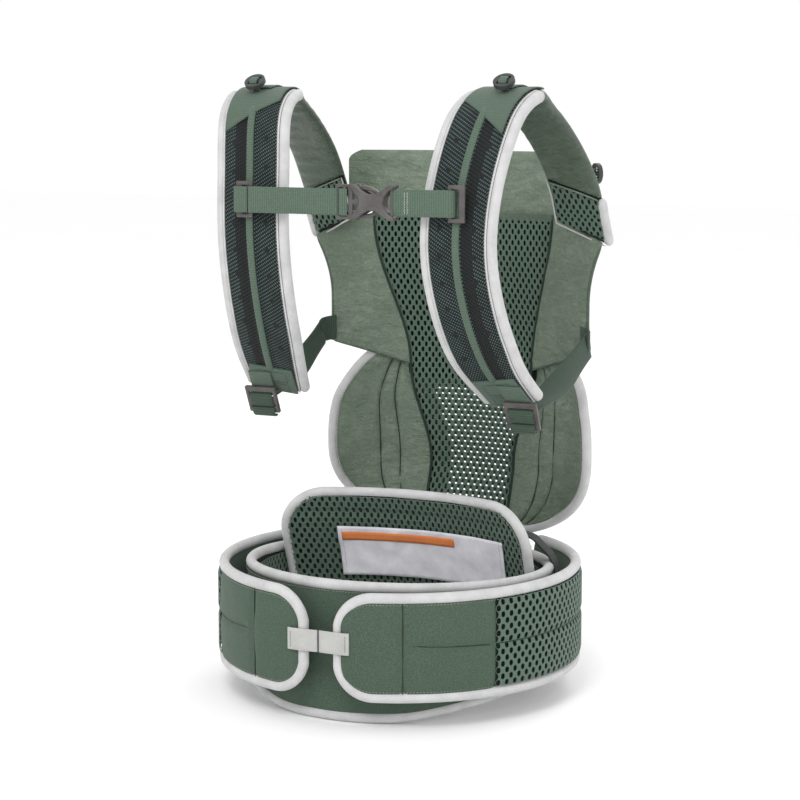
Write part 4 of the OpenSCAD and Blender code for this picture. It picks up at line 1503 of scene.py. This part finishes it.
def make_buckle():
    """A side-release buckle with a waisted shell open at its sides for the prongs."""
    arms = both_halves([(39.5, 0), (41, 5.5), (45, 10.5), (51, 13.6), (51.4, 17), (45, 16.8),
                        (38, 11.5), (31, 8), (24, 8), (17, 11.8), (10.5, 17), (5.5, 16.8),
                        (6, 13), (12.5, 6), (15, 0)])
    heel = both_halves([(39.5, 0), (41, 5.5), (45, 10.5), (50, 13.6), (50, 16), (45, 15.8),
                        (38, 10.5), (36.5, 0)])
    buckle_piece("buckle_socket_face", [arms], -7, -3.2, 1.7, "chest_right", "buckle_socket")
    buckle_piece("buckle_socket_back", [arms], 3.1, 5.5, 1.0, "chest_right")
    bar = box_outline(45.6, 48.4, -14, 14)
    buckle_piece("buckle_socket_heel", [heel, bar], -4, 4.5, 1.0, "chest_right")
    frame_bars = [box_outline(-12, -8.4, -16.5, 16.5), box_outline(-10, 7, 13.2, 16.5),
                  box_outline(-10, 7, -16.5, -13.2), box_outline(1.5, 6.4, -15, 15),
                  box_outline(5, 30, -2.4, 2.4)]
    buckle_piece("buckle_plug_shell", frame_bars, -2.2, 2.2, 1.1, "buckle_plug", "buckle_plug")
    wrap = [(-4, CHEST_Y + 3), (-6.6, CHEST_Y + 2.6), (-7.4, CHEST_Y), (-6.6, CHEST_Y - 3.2),
            (-4, CHEST_Y - 3.7), (0, CHEST_Y - 3.7), (1.2, CHEST_Y - 3.4)]
    put(folded_web("buckle_plug_wrap", wrap), "buckle_plug", "green_webbing")
    prong = [(6, 7.4), (11.5, 9.6), (17, 11.2), (24, 10.4), (31, 7.6), (34, 8.4), (31.5, 11),
             (25, 14.4), (18, 16), (11.5, 14.6), (6, 10.8)]
    for label, up in (("upper", 1), ("lower", -1)):
        buckle_piece(f"buckle_prong_{label}_shell", [[(x, up * z) for x, z in prong]], -2.2, 2.2,
                     1.1, f"prong_{label}", f"buckle_prong_{label}")


# each toggle: strap parameter, way across, way out, and its turns about X and Z in degrees
TOGGLES = {"front": (4.4, 5, STRAP_T / 2 + 11, 36, 0),
           "rear": (1, 19, STRAP_T / 2 + 11.5, -90, -45)}


def turned(points, about_x, about_z):
    a, b = math.radians(about_x), math.radians(about_z)
    tip = np.array([[1, 0, 0], [0, math.cos(a), -math.sin(a)], [0, math.sin(a), math.cos(a)]])
    spin = np.array([[math.cos(b), -math.sin(b), 0], [math.sin(b), math.cos(b), 0], [0, 0, 1]])
    return np.asarray(points, float) @ (spin @ tip).T


def make_toggles():
    """Plastic toggles, each held by a webbing loop round its middle bar."""
    loop = np.array([(0, 1.5, -9), (0, 4.2, -4), (0, 4.3, 1), (0, 3.2, 3.1), (0, 0, 3.7),
                     (0, -3.2, 3.1), (0, -4.3, 1), (0, -4.2, -4), (0, -1.5, -9)], float)
    rise = np.gradient(loop, axis=0)
    facing = unit(np.stack([0 * rise[:, 0], rise[:, 2], -rise[:, 1]], -1))
    for name, side in SIDES.items():
        for place, (s, w, n, about_x, about_z) in TOGGLES.items():
            node = f"toggle_{place}_{name}"
            put(bevelled(node, 1.0, PLASTIC_DARK), node, "grey_plastic", node)
            centre = strap_point(s, w, n, 1)
            path = mirrored(turned(loop, about_x, about_z) + centre, side)
            across = mirrored(turned([1, 0, 0], about_x, about_z), side)
            normal = mirrored(turned(facing, about_x, about_z), side)
            put(strip(f"{node}_loop", path, across, normal, 8, 1.3, WEBBING), node,
                "green_webbing")


# ---- scene
make_camera()
make_studio()
make_lumbar_band()
make_band_bindings()
make_belly_pad()
make_label()
make_belt_back()
make_belt_elastics()
make_panel_mesh()
make_seat_binding()
make_headrest()
for side_name, side_sign in SIDES.items():
    make_wing(side_name, side_sign)
    make_panel_side(side_name, side_sign)
    make_seat_side(side_name, side_sign)
    make_strap(side_name, side_sign)
    make_adjuster(side_name, side_sign)
make_chest_strap()
make_toggles()

bpy.context.view_layer.update()
